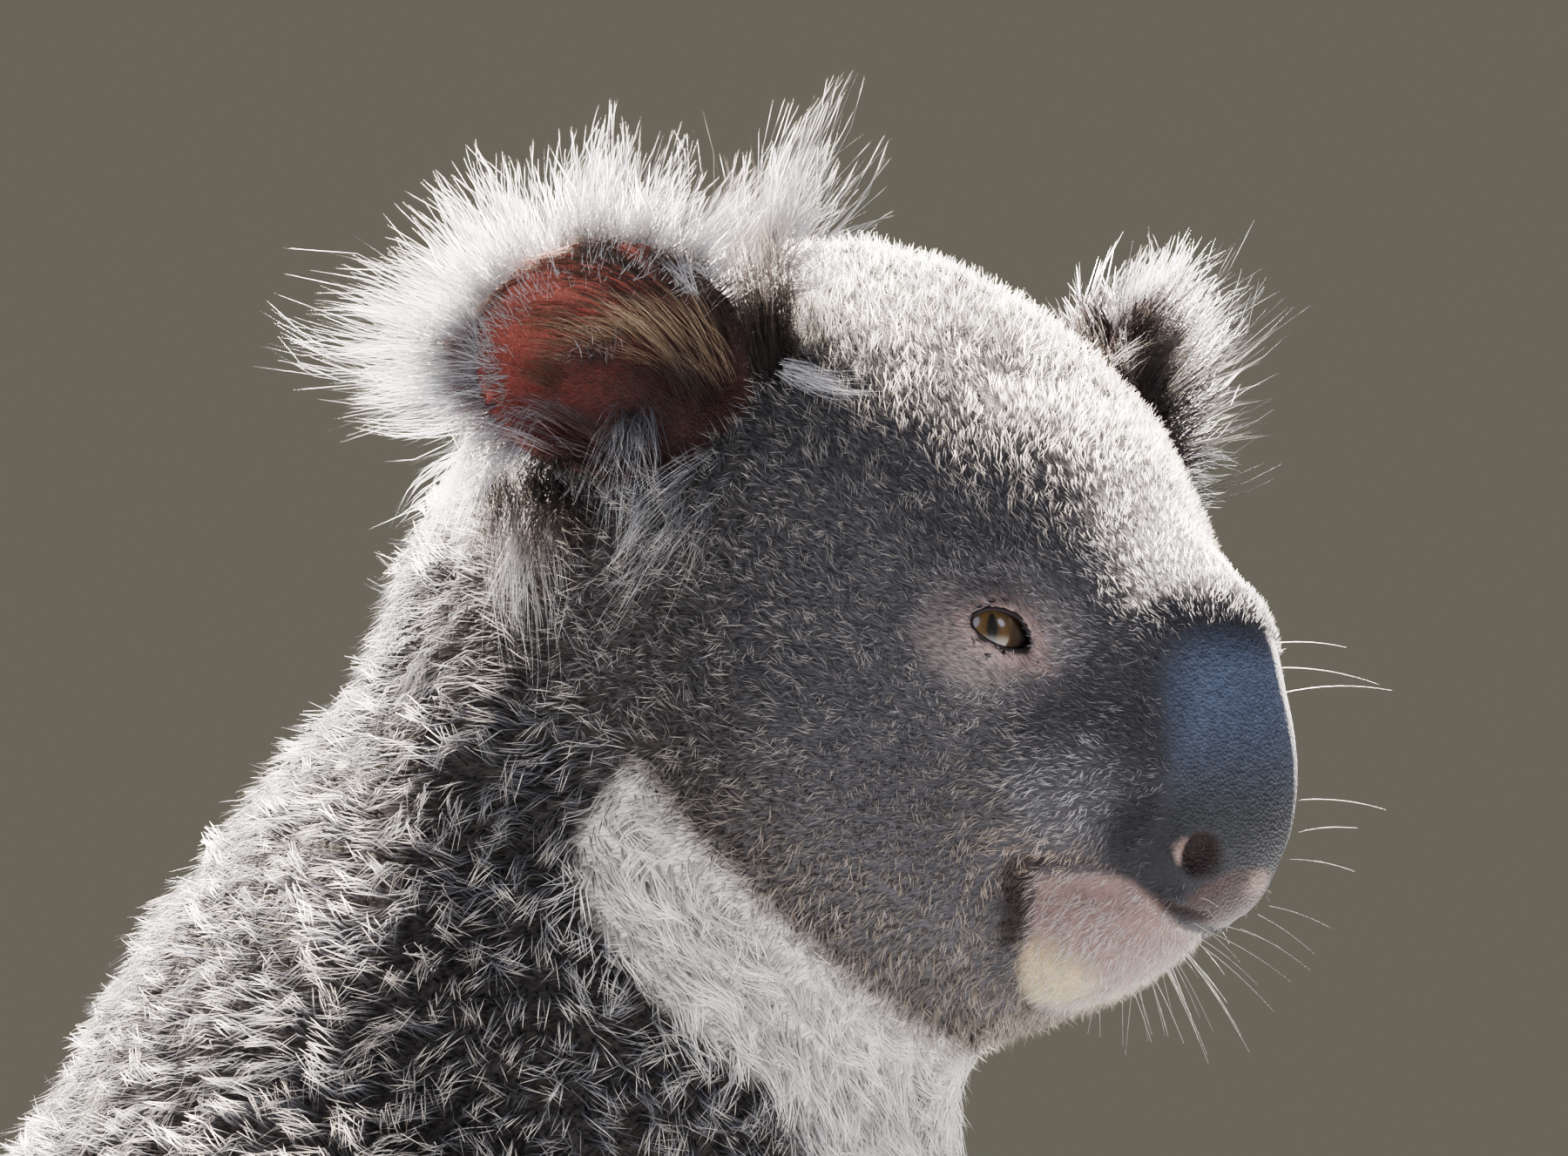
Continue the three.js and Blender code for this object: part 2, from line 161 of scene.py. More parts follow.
def turned_from_head(v):
    """A direction in the head's own space back into body space."""
    return np.stack([TURN_COS * v[..., 0] - TURN_SIN * v[..., 1],
                     TURN_SIN * v[..., 0] + TURN_COS * v[..., 1], v[..., 2]], -1)


def from_head(q):
    """A point of the head's own space in body space: turned, then moved to the head's origin."""
    return turned_from_head(q) + HEAD_ORIGIN


def to_ear(m):
    """Mirrored head space into an ear's own: x out along its width, y up, z out of the hollow."""
    q = m - vec(*EAR_ROOT)
    c, s = math.cos(EAR_TURN), math.sin(EAR_TURN)
    return np.stack([q[..., 0] * c + q[..., 1] * s, q[..., 2], q[..., 0] * s - q[..., 1] * c], -1)


def from_ear_direction(v):
    """A direction in an ear's own space back in mirrored head space."""
    c, s = math.cos(EAR_TURN), math.sin(EAR_TURN)
    return np.stack([v[..., 0] * c + v[..., 2] * s, v[..., 0] * s - v[..., 2] * c, v[..., 1]], -1)


def to_eye(m):
    """Mirrored head space into an eye's own: x towards its front corner, y up, z outwards."""
    q = m - vec(EYE_SIDE, -EYE_AHEAD, -EYE_DROP)
    c, s = math.cos(EYE_AIM), math.sin(EYE_AIM)
    return np.stack([-q[..., 0] * s - q[..., 1] * c, q[..., 2], q[..., 0] * c - q[..., 1] * s], -1)


def from_eye_direction(v):
    """A direction in an eye's own space back in mirrored head space."""
    c, s = math.cos(EYE_AIM), math.sin(EYE_AIM)
    return np.stack([v[..., 2] * c - v[..., 0] * s, -v[..., 2] * s - v[..., 0] * c, v[..., 1]], -1)


def head_shape(q):
    """The skull, brow, bridge, cheeks, jaw, muzzle and nose as eggs and one taper, joined with fillets."""
    m = mirrored(q)
    d = egg(q, (0, 3, 10), (60, 55, 55.5))
    d = fillet(d, egg(q, (0, -28, -8), (46, 36, 40)), 14)
    d = fillet(d, taper(q, (0, -34, 9), (0, -66, -13), 25, 20), 10)
    d = fillet(d, egg(m, (31, -12, -29), (31, 35, 34)), 12)
    d = fillet(d, egg(q, (0, -18, -45), (42, 38, 27)), 12)
    d = fillet(d, egg(q, (0, -54, -32), (30, 30, 22)), 8)
    d = fillet(d, egg(q, (0, -74.5, -32), (16.3, 17.5, 27)), 6)
    return d


def chin_shape(q):
    """Two eggs, the lip's in front and the jaw's behind it, joined with a fillet."""
    return fillet(egg(q, (0, -52, -53.5), (16, 20, 12.5)), egg(q, (0, -38, -56), (18, 22, 14)), 6)


def trunk_shape(p):
    """A taper from pelvis to chest, with an egg for the breast and one for the belly, all a little wider."""
    q = p / vec(TRUNK_WIDTH, 1, 1)
    d = taper(q, PELVIS, CHEST, PELVIS_R, CHEST_R)
    d = fillet(d, egg(q, (0, -158, 288), (64, 64, 70)), 24)
    return fillet(d, egg(q, (0, -50, 92), (88, 84, 82)), 30)


def neck_shape(p):
    """A taper from throat to nape, a little wider than it is deep."""
    return taper(p / vec(NECK_WIDTH, 1, 1), THROAT, NAPE, THROAT_R, NAPE_R)


def upper_arm(m):
    return taper(m, SHOULDER, ELBOW, SHOULDER_R, ELBOW_R)


def forearm(m):
    return taper(m, ELBOW, WRIST, ELBOW_R, WRIST_R)


def thigh(m):
    return taper(m, HIP, KNEE, HIP_R, KNEE_R)


def shin(m):
    return taper(m, KNEE, ANKLE, KNEE_R, ANKLE_R)


def arm_shape(m):
    return fillet(upper_arm(m), forearm(m), 8)


def leg_shape(m):
    return fillet(thigh(m), shin(m), 10)


def digit_line(pad, root_x, root_y, aim, length, radius):
    """Root, knuckle and tip of a digit on a straight line turned outwards by aim, at 1.25, 1.35 and 0.85 of
    its radius above the floor, and the direction of that line along the floor."""
    turn = math.radians(aim)
    ahead = (math.sin(turn), -math.cos(turn))
    spots = [(pad[0] + root_x + ahead[0] * far, pad[1] + root_y + ahead[1] * far, radius * high)
             for far, high in ((0, 1.25), (length / 2, 1.35), (length, 0.85))]
    return (*spots, ahead)


def paw_shape(m, pad, pad_r, digits):
    """An egg for the pad, and for each digit a rod from root to knuckle and a taper from there to its tip."""
    d = egg(m, pad, pad_r)
    for x, y, aim, length, radius, _ in digits:
        root, knuckle, tip, _ = digit_line(pad, x, y, aim, length, radius)
        d = fillet(d, taper(m, root, knuckle, radius, radius), 4)
        d = fillet(d, taper(m, knuckle, tip, radius, radius * 0.8), 2)
    return d


def hand_shape(m):
    return paw_shape(m, PALM, PALM_R, FINGERS)


def foot_shape(m):
    """The paw's shape with a taper for the heel behind it."""
    heel = taper(m, HEEL, SOLE, HEEL_R, 16)
    return fillet(paw_shape(m, SOLE, SOLE_R, TOES), heel, 8)


def ear_skin(e):
    """A shallow bowl 4 thick: its depth falls off with the square of the distance from its middle,
    up to an oval rim, and its foot runs down into the head."""
    rho = np.hypot(e[..., 0] / EAR_BOWL_R[0], e[..., 1] / EAR_BOWL_R[1])
    bowl = -EAR_BOWL_DEEP * (1 - np.minimum(rho, 1.1) ** 2)
    wall = np.abs(e[..., 2] - bowl) * 0.8 - 1.8
    rim = (rho - 1) * EAR_BOWL_R[1]
    d = -fillet(-wall, -rim, 1.0)
    foot = taper(e, (-20, -16, -8), (-2, -6, -13), 13, 9)
    return fillet(d, foot, 5)


def ear_hollow(e):
    """The space in front of the bowl."""
    return egg(e, (0, 0, 6), (EAR_BOWL_R[0] - 0.5, EAR_BOWL_R[1] - 0.5, 15))


# The opening of the lids in the eye's own space: its tilt, its middle, half its length, and its half height
# above and below.
LID_TILT, LID_MIDDLE = math.radians(-17), (2.2, -0.1)
LID_LONG, LID_UP, LID_DOWN = 5.9, 3.3, 2.8


def almond_height(a, high):
    """Half height of the eye's opening at a distance along it: one less the distance's power 2.2, raised to
    0.55 behind, which rounds it, and to 0.85 in front, which draws it to a corner."""
    rest = np.maximum(1 - np.abs(a / LID_LONG) ** 2.2, 0)
    return high * rest ** np.where(a > 0, 0.85, 0.55)


def opening(e):
    """Distance outside the opening between the lids, less than nothing inside it."""
    x, y = e[..., 0] - LID_MIDDLE[0], e[..., 1] - LID_MIDDLE[1]
    a = x * math.cos(LID_TILT) + y * math.sin(LID_TILT)
    u = -x * math.sin(LID_TILT) + y * math.cos(LID_TILT)
    half = almond_height(a, np.where(u > 0, LID_UP, LID_DOWN))
    beyond = np.maximum(np.abs(a) - LID_LONG, 0)
    outside = (beyond > 0) | (np.abs(u) > half)
    return np.hypot((np.abs(u) - half) * 0.8, beyond) * np.where(outside, 1, -1)


def lids(m, d):
    """The face swells over the eyeball, and an almond opening is cut through the swelling to the ball."""
    e = to_eye(m)
    ball = length_of(e)
    d = fillet(d, ball - (EYE_R + 1.0), 3.0)
    d = carve(d, np.maximum(opening(e), -e[..., 2]), 0.6)
    tear = taper(e, (6.4, -2.8, 5.6), (9.0, -4.4, 4.2), 0.8, 0.3)
    d = carve(d, tear, 0.8)
    return carve(d, np.maximum(ball - (EYE_R - 0.35), opening(e) - 1.2), 0.3)


# The crease of the lips from the corner of the mouth to the front: beside, behind and above the head's
# origin, and half its width at both ends of each stretch.
LIPS = ((21, -53, -51), (19.8, -55, -45.8), (17, -64.5, -46.8), (10.8, -70, -52.3), (7, -76, -55.4),
        (3.5, -80.5, -57.4), (0, -82.5, -58.5))
LIP_WIDTHS = ((1.7, 1.0), (0.8, 0.4), (0.4, 0.6), (0.9, 0.9), (0.9, 0.9), (0.9, 0.9))


def mouth_line(m):
    """Distance to the crease of the lips: the least of the distances to its tapering stretches."""
    stretches = [taper(m, a, b, *widths) for a, b, widths in zip(LIPS, LIPS[1:], LIP_WIDTHS)]
    return np.minimum.reduce(stretches)


def nostril(m):
    """A comma: a hollow that narrows to a slit towards the lip."""
    bowl = egg(m, (9.9, -84.4, -47.4), (2.3, 4.4, 4.2))
    slit = taper(m, (8.8, -85.4, -48.6), (6.2, -84.4, -55), 1.4, 0.6)
    return fillet(bowl, slit, 2)


def pad_edge(q):
    """Distance outside the bare pad of the nose, a rounded oblong seen from in front: the fourth root of the
    sum of the fourth powers of its scaled half width and half height, less one."""
    across, up = np.abs(q[..., 0]) / 15.2, np.abs(q[..., 2] + 30) / 22
    return ((across ** 4 + up ** 4) ** 0.25 - 1) * 15


def mouth_and_nostrils(m, d):
    """The crease of the lips, the pocket at its corner and the nostril, all taken out of the face."""
    d = carve(d, mouth_line(m), 1.2)
    pocket = egg(m, (20, -51, -51.5), (2.6, 2.6, 4.5))
    d = carve(d, pocket, 3)
    return carve(d, nostril(m), 1.0)


def head_side(p):
    """How far a point is on the head's side of the fold between head and neck."""
    return (p[..., 1] + 178) * -0.75 + (p[..., 2] - 352) * 0.66


# The side edge of the bib: heights, and how far ahead of the body's origin the white starts there.
BIB_HEIGHTS = (150, 230, 289, 302, 316, 330, 343, 355, 364, 380)
BIB_EDGE = (120, 165, 213, 210, 195, 185, 182, 192, 198, 212)


def bib_weight(p, m):
    """The white bib: forward of a line that draws in down the side of the throat, then widens below, and not
    on the outside of the arms."""
    edge = np.interp(p[..., 2], BIB_HEIGHTS, BIB_EDGE)
    weight = smooth(-p[..., 1] - edge.astype(F), -3, 4) * (1 - smooth(head_side(p), 9, 16))
    return weight * (1 - smooth(m[..., 0], 52, 66) * smooth(300 - p[..., 2], 0, 30))


def coat_depth(p, q):
    """How far the skin lies under the outline of the animal in its coat, one depth shading into the next:
    12.5 on the trunk, 6.6 on the shoulders and up to 4 more at the nape, 5 on the bib, 9.5 to 3.5 down the
    limbs, 2 on the paws; 3.6 at the back of the head, 2 on the face, 1 on the muzzle, 1.2 at the eyes, and up
    to 2.8 more on the brow."""
    ahead = -q[..., 1]
    m = mirrored(p)
    on_head = smooth(head_side(p), -26, 12)
    head = 3.6 + (2.0 - 3.6) * smooth(ahead, 5, 48)
    head = head + (1.0 - head) * smooth(ahead, 50, 72)
    brow = 1 - smooth(length_of((mirrored(q) - vec(10, -33, 51)) * vec(0.8, 0.9, 1)), 6, 32)
    head = head + 2.8 * brow
    eye = length_of(to_eye(mirrored(q)))
    head = head + (1.2 - head) * (1 - smooth(eye, 11, 20))
    body = 12.5 + (6.6 - 12.5) * smooth(p[..., 2], 240, 280)
    body = body + (5.0 - body) * bib_weight(p, m) * smooth(p[..., 2], 200, 240)
    near_limb = 1 - smooth(np.minimum(arm_shape(m), leg_shape(m)), 0, 14)
    low = smooth(p[..., 2], 26, 150)
    body = body + (3.5 + 6 * low - body) * near_limb * (1 - smooth(p[..., 2], 230, 280))
    body = body + 4.0 * (1 - smooth(length_of(m - vec(25, -150, 396)), 18, 58))
    paws = np.minimum(hand_shape(m), foot_shape(m))
    body = body + (2.0 - body) * (1 - smooth(paws, 0, 12)) * (1 - smooth(p[..., 2], 30, 60))
    return body + (head - body) * on_head


def skin_shape(p):
    """The skin: every part's outline joined with fillets, drawn in by the depth of the coat."""
    q = to_head(p)
    m, mq = mirrored(p), mirrored(q)
    d = trunk_shape(p)
    d = fillet(d, neck_shape(p), 20)
    d = fillet(d, head_shape(q), 22)
    d = fillet(d, arm_shape(m), 22)
    d = fillet(d, leg_shape(m), 22)
    d = d + coat_depth(p, q)
    d = fillet(d, hand_shape(m) + 2.0, 6)
    d = fillet(d, foot_shape(m) + 2.0, 6)
    d = fillet(d, chin_shape(q) + 1.5, 2.5)
    d = mouth_and_nostrils(mq, d)
    d = lids(mq, d)
    ear = to_ear(mq)
    d = carve(d, ear_hollow(ear), 2)
    d = fillet(d, ear_skin(ear), 2)
    return np.maximum(d, SKIN_CLEAR - p[..., 2])


# ---------------------------------------------------------------- the skin's mesh

def lines(start, *stretches):
    """Grid lines from a start through stretches of (end, spacing), evenly spaced in each."""
    out = [np.array([start], F)]
    for end, spacing in stretches:
        count = max(1, round((end - out[-1][-1]) / spacing))
        out.append(np.linspace(out[-1][-1], end, count + 1, dtype=F)[1:])
    return np.concatenate(out)


def fill_grid(field, axes, place, skipped=4, reach=34, batch=400000):
    """The field at every grid point. A first pass takes every fourth line, and only what that finds within
    reach of the surface is then worked out point by point, a batch at a time to save memory."""
    rough_axes = [a[::skipped] for a in axes]
    rough = field(place(np.stack(np.meshgrid(*rough_axes, indexing="ij"), -1)))
    nearest = [np.minimum((np.arange(len(a)) + skipped // 2) // skipped, len(a[::skipped]) - 1) for a in axes]
    values = rough[np.ix_(*nearest)]
    close = np.argwhere(np.abs(values) < reach)
    for start in range(0, len(close), batch):
        i, j, k = close[start:start + batch].T
        values[i, j, k] = field(place(np.stack([axes[0][i], axes[1][j], axes[2][k]], -1)))
    return values


def net(field, axes, place):
    """The field's zero surface as quads. Each grid cell that the surface crosses gets one vertex, the mean
    of the crossings on its edges, and each crossed grid edge a quad of the four cells round it."""
    values = fill_grid(field, axes, place)
    points, cells, flips = [], [], []
    strides = np.array([values.shape[1] * values.shape[2], values.shape[2], 1])
    for axis in range(3):
        low, high = [slice(None)] * 3, [slice(None)] * 3
        low[axis], high[axis] = slice(0, -1), slice(1, None)
        a, b = values[tuple(low)], values[tuple(high)]
        crossed = (a < 0) != (b < 0)
        index = np.argwhere(crossed)
        a, b = a[crossed], b[crossed]
        point = np.stack([axes[k][index[:, k]] for k in range(3)], -1)
        point[:, axis] += (axes[axis][index[:, axis] + 1] - point[:, axis]) * a / (a - b)
        one, two = strides[(axis + 1) % 3], strides[(axis + 2) % 3]
        points.append(point)
        cells.append((index @ strides)[:, None] - np.array([0, one, one + two, two])[None, :])
        flips.append(a < 0)
    points, cells, flips = np.concatenate(points), np.concatenate(cells), np.concatenate(flips)
    _, order = np.unique(cells, return_inverse=True)
    order = order.reshape(cells.shape)
    count = np.bincount(order.ravel())
    means = [np.bincount(order.ravel(), np.repeat(points[:, k], 4)) / count for k in range(3)]
    vertices = np.stack(means, -1)
    quads = np.where(flips[:, None], order, order[:, ::-1])
    return place(vertices.astype(F)), quads


def slope(field, p, step=0.25):
    """The field's gradient by differences each side."""
    out = np.empty_like(p)
    for k in range(3):
        d = np.zeros(3, F)
        d[k] = step
        out[:, k] = (field(p + d) - field(p - d)) / (2 * step)
    return out


def settle(field, p, rounds=3):
    """Moves points along the slope on to the field's zero surface."""
    for _ in range(rounds):
        g = slope(field, p)
        p = p - g * (field(p) / np.maximum((g * g).sum(-1), 0.2))[:, None]
    return p


def mesh_piece(name, vertices, faces, material):
    """A smooth mesh object from whole arrays: vertices in millimetres, faces of one size."""
    mesh = bpy.data.meshes.new(name)
    faces = np.ascontiguousarray(faces, np.int32)
    size = faces.shape[1]
    mesh.vertices.add(len(vertices))
    mesh.vertices.foreach_set("co", (np.asarray(vertices, np.float64) * MM).astype(F).ravel())
    mesh.loops.add(faces.size)
    mesh.loops.foreach_set("vertex_index", faces.ravel())
    mesh.polygons.add(len(faces))
    mesh.polygons.foreach_set("loop_start", np.arange(0, faces.size, size, dtype=np.int32))
    mesh.polygons.foreach_set("loop_total", np.full(len(faces), size, np.int32))
    mesh.update(calc_edges=True)
    mesh.polygons.foreach_set("use_smooth", np.ones(len(mesh.polygons), bool))
    mesh.materials.append(material)
    piece = bpy.data.objects.new(name, mesh)
    bpy.context.scene.collection.objects.link(piece)
    return piece


def give(piece, name, values):
    """A number or a colour at each vertex, for the material to read."""
    values = np.asarray(values, F)
    kind = "FLOAT" if values.ndim == 1 else "FLOAT_COLOR"
    attribute = piece.data.attributes.new(name, kind, "POINT")
    if values.ndim == 1:
        attribute.data.foreach_set("value", values)
    else:
        rgba = np.concatenate([values, np.ones((len(values), 1), F)], -1)
        attribute.data.foreach_set("color", rgba.ravel())


# ---------------------------------------------------------------- colours and markings

def linear(code):
    """An sRGB hex colour turned to linear light."""
    c = np.array([int(code[i:i + 2], 16) for i in (1, 3, 5)]) / 255
    return np.where(c <= 0.04045, c / 12.92, ((c + 0.055) / 1.055) ** 2.4).astype(F)


# Colours of the hair: dark to pale greys, the whites of bib and fringes, browns and tans, places of the face.
HAIR = {name: linear(code) for name, code in {
    "underfur": "#201d1c", "dark": "#1e1816", "slate": "#1e1f24", "soot": "#33343a", "ash": "#5d5e65",
    "grey": "#89888a", "silver": "#9b999f", "white": "#ffffff", "bib": "#d9d4d0", "cream": "#eae0d3",
    "brown": "#6a5e51", "umber": "#50473f", "fawn": "#b09d8e", "tan": "#b59c80", "russet": "#5a342c",
    "chin": "#786b65", "straw": "#9a8b64", "muzzle": "#6a6c75"}.items()}
# Colours of the skin, named by their places.
SKIN = {name: linear(code) for name, code in {
    # nose: the pad's top, blue-grey as a painted reflection of the sky; lobe: painted shade beside the
    # nostril
    "under": "#242120", "face": "#302f32", "nose": "#3b4253", "nose_low": "#1f2023", "shaded_lobe": "#16171b",
    "lip": "#2b2321", "lip_pale": "#5a4b46", "chin": "#5d4b48", "bib": "#a9a39f", "mouth": "#1c1515",
    "nostril": "#150e0e", "lid": "#2b2429", "eye_ring": "#4b4746", "eye_bare": "#655552", "tear": "#7f6963",
    # ear: pink skin deepened red as a painted glow of light through it; its darker colour: painted shade deep
    # in the hollow
    "ear": "#6c3630", "ear_shade": "#32211e"}.items()}


def mixed(a, b, w):
    """From a to b by the share w."""
    w = np.asarray(w, F)[..., None]
    return a + (b - a) * w


def hashed(cells, seed):
    """Three even random numbers for each whole-number cell, always the same ones: the part after the point
    of a large multiple of the sine of a weighted sum."""
    dots = cells @ np.array([[127.1, 269.5, 113.5], [311.7, 183.3, 271.9], [74.7, 246.1, 124.6]])
    return np.modf(np.abs(np.sin(dots + seed) * 43758.5453))[0]


def clumps(p, size, seed):
    """The nearest of the scattered centres, one to each cube of this size, and its own random numbers."""
    base = np.floor(p / size)
    best = np.full(len(p), 1e9)
    centre, chance = np.zeros_like(p), np.zeros_like(p)
    for step in np.ndindex(3, 3, 3):
        cell = base + np.array(step) - 1
        c = (cell + hashed(cell, seed)) * size
        far = length_of(p - c)
        nearer = far < best
        best = np.where(nearer, far, best)
        centre = np.where(nearer[:, None], c, centre)
        chance = np.where(nearer[:, None], hashed(cell, seed + 7.7), chance)
    return centre.astype(F), chance.astype(F)


def blob(q, ahead, beside, up, near, far):
    """One within near of a point of the head, fading to none at far, on both sides."""
    return 1 - smooth(length_of(mirrored(q) - vec(beside, -ahead, up)), near, far)


def regions(p):
    """Soft weights that say where on the animal each point is, shared by the skin and the coat. Each is a
    product of smooth steps, taken over a distance to a shape or over a height or a depth."""
    q = to_head(p)
    m, mq = mirrored(p), mirrored(q)
    ahead, up = -q[..., 1], q[..., 2]
    eye_at, ear = to_eye(mq), to_ear(mq)
    r = {"q": q, "m": m}
    r["head"] = smooth(head_side(p), 4, 18)
    # The bare pad of the nose and the front of the upper lip.
    pad = pad_edge(q)
    r["lip_front"] = smooth(-up - 51 + 0.55 * (ahead - 82.4), -0.6, 0.9) * smooth(ahead, 76, 79)
    r["nose"] = (1 - smooth(pad, -1.5, 0.9)) * smooth(ahead, 66, 70) * (1 - r["lip_front"])
    # Round the eye: the swelling over the ball, the bare ring, the ball, the lids' edge, the front corner.
    r["lid"] = 1 - smooth(length_of(eye_at * vec(0.85, 1.15, 1)), 9.0, 13)
    from_lids = np.where(eye_at[..., 2] > -2, opening(eye_at), 20.0).astype(F)
    r["eye_ring"] = 1 - smooth(from_lids, 5, 11)
    r["eyeball"] = (1 - smooth(length_of(eye_at), 8.5, 8.9)) * (1 - smooth(from_lids, 0.5, 1.3))
    r["lid_edge"] = 1 - smooth(from_lids, 1.2, 3.4)
    r["tear"] = 1 - smooth(length_of((eye_at - vec(10.2, -5.4, 2.4)) * vec(0.9, 1.3, 1)), 1.5, 5.5)
    # The pale chin and its yellower rear, the crease of the mouth, and the pocket behind its corner, painted
    # dark as shade.
    rear = 50.3 + np.where(up > -58, 0.35, 0.8) * (up + 58)
    r["chin"] = (1 - smooth(chin_shape(q), 0.5, 4)) * smooth(ahead - rear, -2.5, 0.5)
    r["chin"] = r["chin"] * (1 - smooth(up, -50, -47))
    r["chin"] = r["chin"] * (1 - r["lip_front"])
    r["straw"] = r["chin"] * blob(q, 48, 10, -66, 3, 12)
    r["mouth"] = 1 - smooth(mouth_line(mq), 0.1, 1.0)
    r["mouth"] = r["mouth"] * (1 - 0.5 * smooth(ahead, 54, 59) * (1 - smooth(ahead, 69, 75)))
    gape = np.minimum(taper(mq, (21.0, -52.0, -46.6), (18.0, -49.6, -51), 1.0, 1.9),
                      taper(mq, (18.0, -49.6, -51), (16.4, -46.4, -58.5), 1.9, 0.8))
    r["pocket"] = 1 - smooth(gape, -0.4, 2.2)
    # Patches of the muzzle: beside the nostril, darkened as painted shade; above the lip; below the eye; on
    # the side; round the pad, its own dark hair deepened as painted shade.
    r["shaded_lobe"] = blob(q, 78, 15, -47, 6, 14) * (1 - r["nose"]) * (1 - r["chin"])
    r["lip_edge"] = (1 - smooth(mouth_line(mq), 2, 9)) * smooth(up, -54, -46) * (1 - r["chin"])
    r["under_eye"] = blob(q, 67, 24, -21, 4, 13)
    r["muzzle_pale"] = blob(q, 69, 23, -37, 5, 14)
    r["nose_edge"] = (1 - smooth(pad, 1.5, 9)) * smooth(ahead, 60, 70) * (1 - r["chin"])
    # The muzzle, face and jaw as wholes, and the cheek, where the hair is darkened as painted shade.
    r["muzzle"] = smooth(ahead, 50, 66)
    r["face"] = smooth(ahead, 10, 40) * (1 - smooth(up, 22, 52)) * r["head"]
    r["jaw"] = smooth(-up, 14, 44) * smooth(ahead, -12, 18) * r["head"] * (1 - smooth(ahead, 52, 62))
    r["cheek"] = blob(q, 34, 48, 0, 16, 60) * r["head"] * (1 - smooth(ahead, 56, 68))
    # The ear's bare inside, its root and the shadow below it.
    ear_reach = np.hypot(ear[..., 0], ear[..., 1] * EAR_BOWL_R[0] / EAR_BOWL_R[1])
    r["ear"] = 1 - smooth(np.minimum(ear_hollow(ear), ear_skin(ear)), 0.5, 1.8)
    r["ear"] = r["ear"] * smooth(ear[..., 2] + 0.5 * ear_reach, -8, -4)
    r["ear_base"] = 1 - smooth(length_of((ear - vec(-17, 9, -2)) * vec(1, 0.8, 1)), 9, 17)
    r["under_ear"] = 1 - smooth(taper(mq, (64.5, 20, 18), (68, 17, -8), 6, 7), 0, 8)
    r["ear_at"] = ear
    # The bib, and below it the belly; limbs, paws, the ruff of the shoulders and neck; the neck's fold,
    # darkened as painted shade; and the front of the throat, paled as a painted rim of light.
    r["bib"] = bib_weight(p, m) * smooth(p[..., 2], 200, 250)
    r["belly"] = bib_weight(p, m) * (1 - smooth(p[..., 2], 230, 260))
    arm, leg = arm_shape(m), leg_shape(m)
    r["limb"] = (1 - smooth(np.minimum(arm, leg), -10, 4)) * (1 - smooth(p[..., 2], 200, 240))
    r["paw"] = 1 - smooth(np.minimum(hand_shape(m), foot_shape(m)), -1, 5)
    r["ruff"] = smooth(p[..., 2], 222, 284)
    r["neck"] = smooth(head_side(p), -50, 0) * (1 - r["head"])
    r["fold"] = 1 - smooth(length_of((m - vec(60, -181, 352)) * vec(1, 0.7, 1.2)), 3, 9)
    r["throat"] = smooth(-p[..., 1], 222, 240)
    return r


def coat_shades(r, chance, own):
    """Hair colour at the root, two thirds up and at the tip. Each hair's tip is dark, grey or cream by
    chance, which grizzles the coat; then each place mixes in its colour by its weight, from 0.55 to 1.35
    times as bright, and every lock has its tone. Some places are painted light and shade: the pocket at
    the mouth's corner, the shadow under the ear, the cheek, the neck's fold and the patch beside the
    nostril are darkened as painted shade, the hair round the nose pad is deepened as painted shade, and
    the front of the throat is paled to cream as a painted rim of light."""
    count = len(chance)
    root = np.tile(HAIR["underfur"], (count, 1))
    band = mixed(HAIR["soot"], HAIR["ash"], 0.2 + 0.8 * chance[:, 0])
    kind = 0.4 * own + 0.6 * chance[:, 2]
    tip = mixed(HAIR["soot"], HAIR["grey"], smooth(kind, 0.12, 0.4))
    tip = mixed(tip, HAIR["cream"], smooth(kind, 0.36, 0.74))
    dull = r["face"] * 0.1 + 0.2 * r["neck"] + 0.4 * (1 - r["ruff"])
    tip = mixed(tip, HAIR["ash"], dull)
    places = (
        (0.8 * r["jaw"], "brown"), (0.6 * r["muzzle"], "muzzle"), (0.55 * r["under_eye"], "umber"),
        # Round the pad, its own dark hair is deepened as painted shade; beside the nostril is painted shade.
        (0.8 * r["muzzle_pale"], "silver"), (0.85 * r["lip_edge"], "fawn"), (0.6 * r["nose_edge"], "soot"),
        (0.9 * r["shaded_lobe"], "slate"), (0.55 * r["eye_ring"], "silver"), (0.6 * r["tear"], "fawn"),
        # The pocket at the mouth's corner and the shadow under the ear: painted shade.
        (0.92 * r["pocket"], "underfur"), (0.92 * r["under_ear"], "underfur"), (0.9 * r["ear_base"], "soot"),
        # The cheek: painted shade.
        (0.6 * r["cheek"], "soot"), (r["chin"], "chin"), (0.8 * r["straw"], "straw"), (r["bib"], "bib"),
        # The neck's fold: painted shade. The throat's cream front: a painted rim of light.
        (0.8 * r["belly"], "bib"), (0.8 * r["bib"] * r["throat"], "cream"), (0.8 * r["fold"], "soot"))
    for weight, name in places:
        spread = mixed(HAIR[name] * 0.55, HAIR[name] * 1.35, own)
        band, tip = mixed(band, spread * 0.85, weight), mixed(tip, spread, weight)
    short = np.maximum(r["face"], r["muzzle"])
    root = mixed(root, band, 0.1 * short + 0.5 * r["eye_ring"] * short)
    root = mixed(root, HAIR["bib"] * 0.7, np.maximum(r["bib"], 0.9 * r["chin"]))
    tone = 0.68 + 0.64 * chance[:, 1:2]
    return root, band * tone, tip * tone * (0.72 + 0.56 * own[:, None])


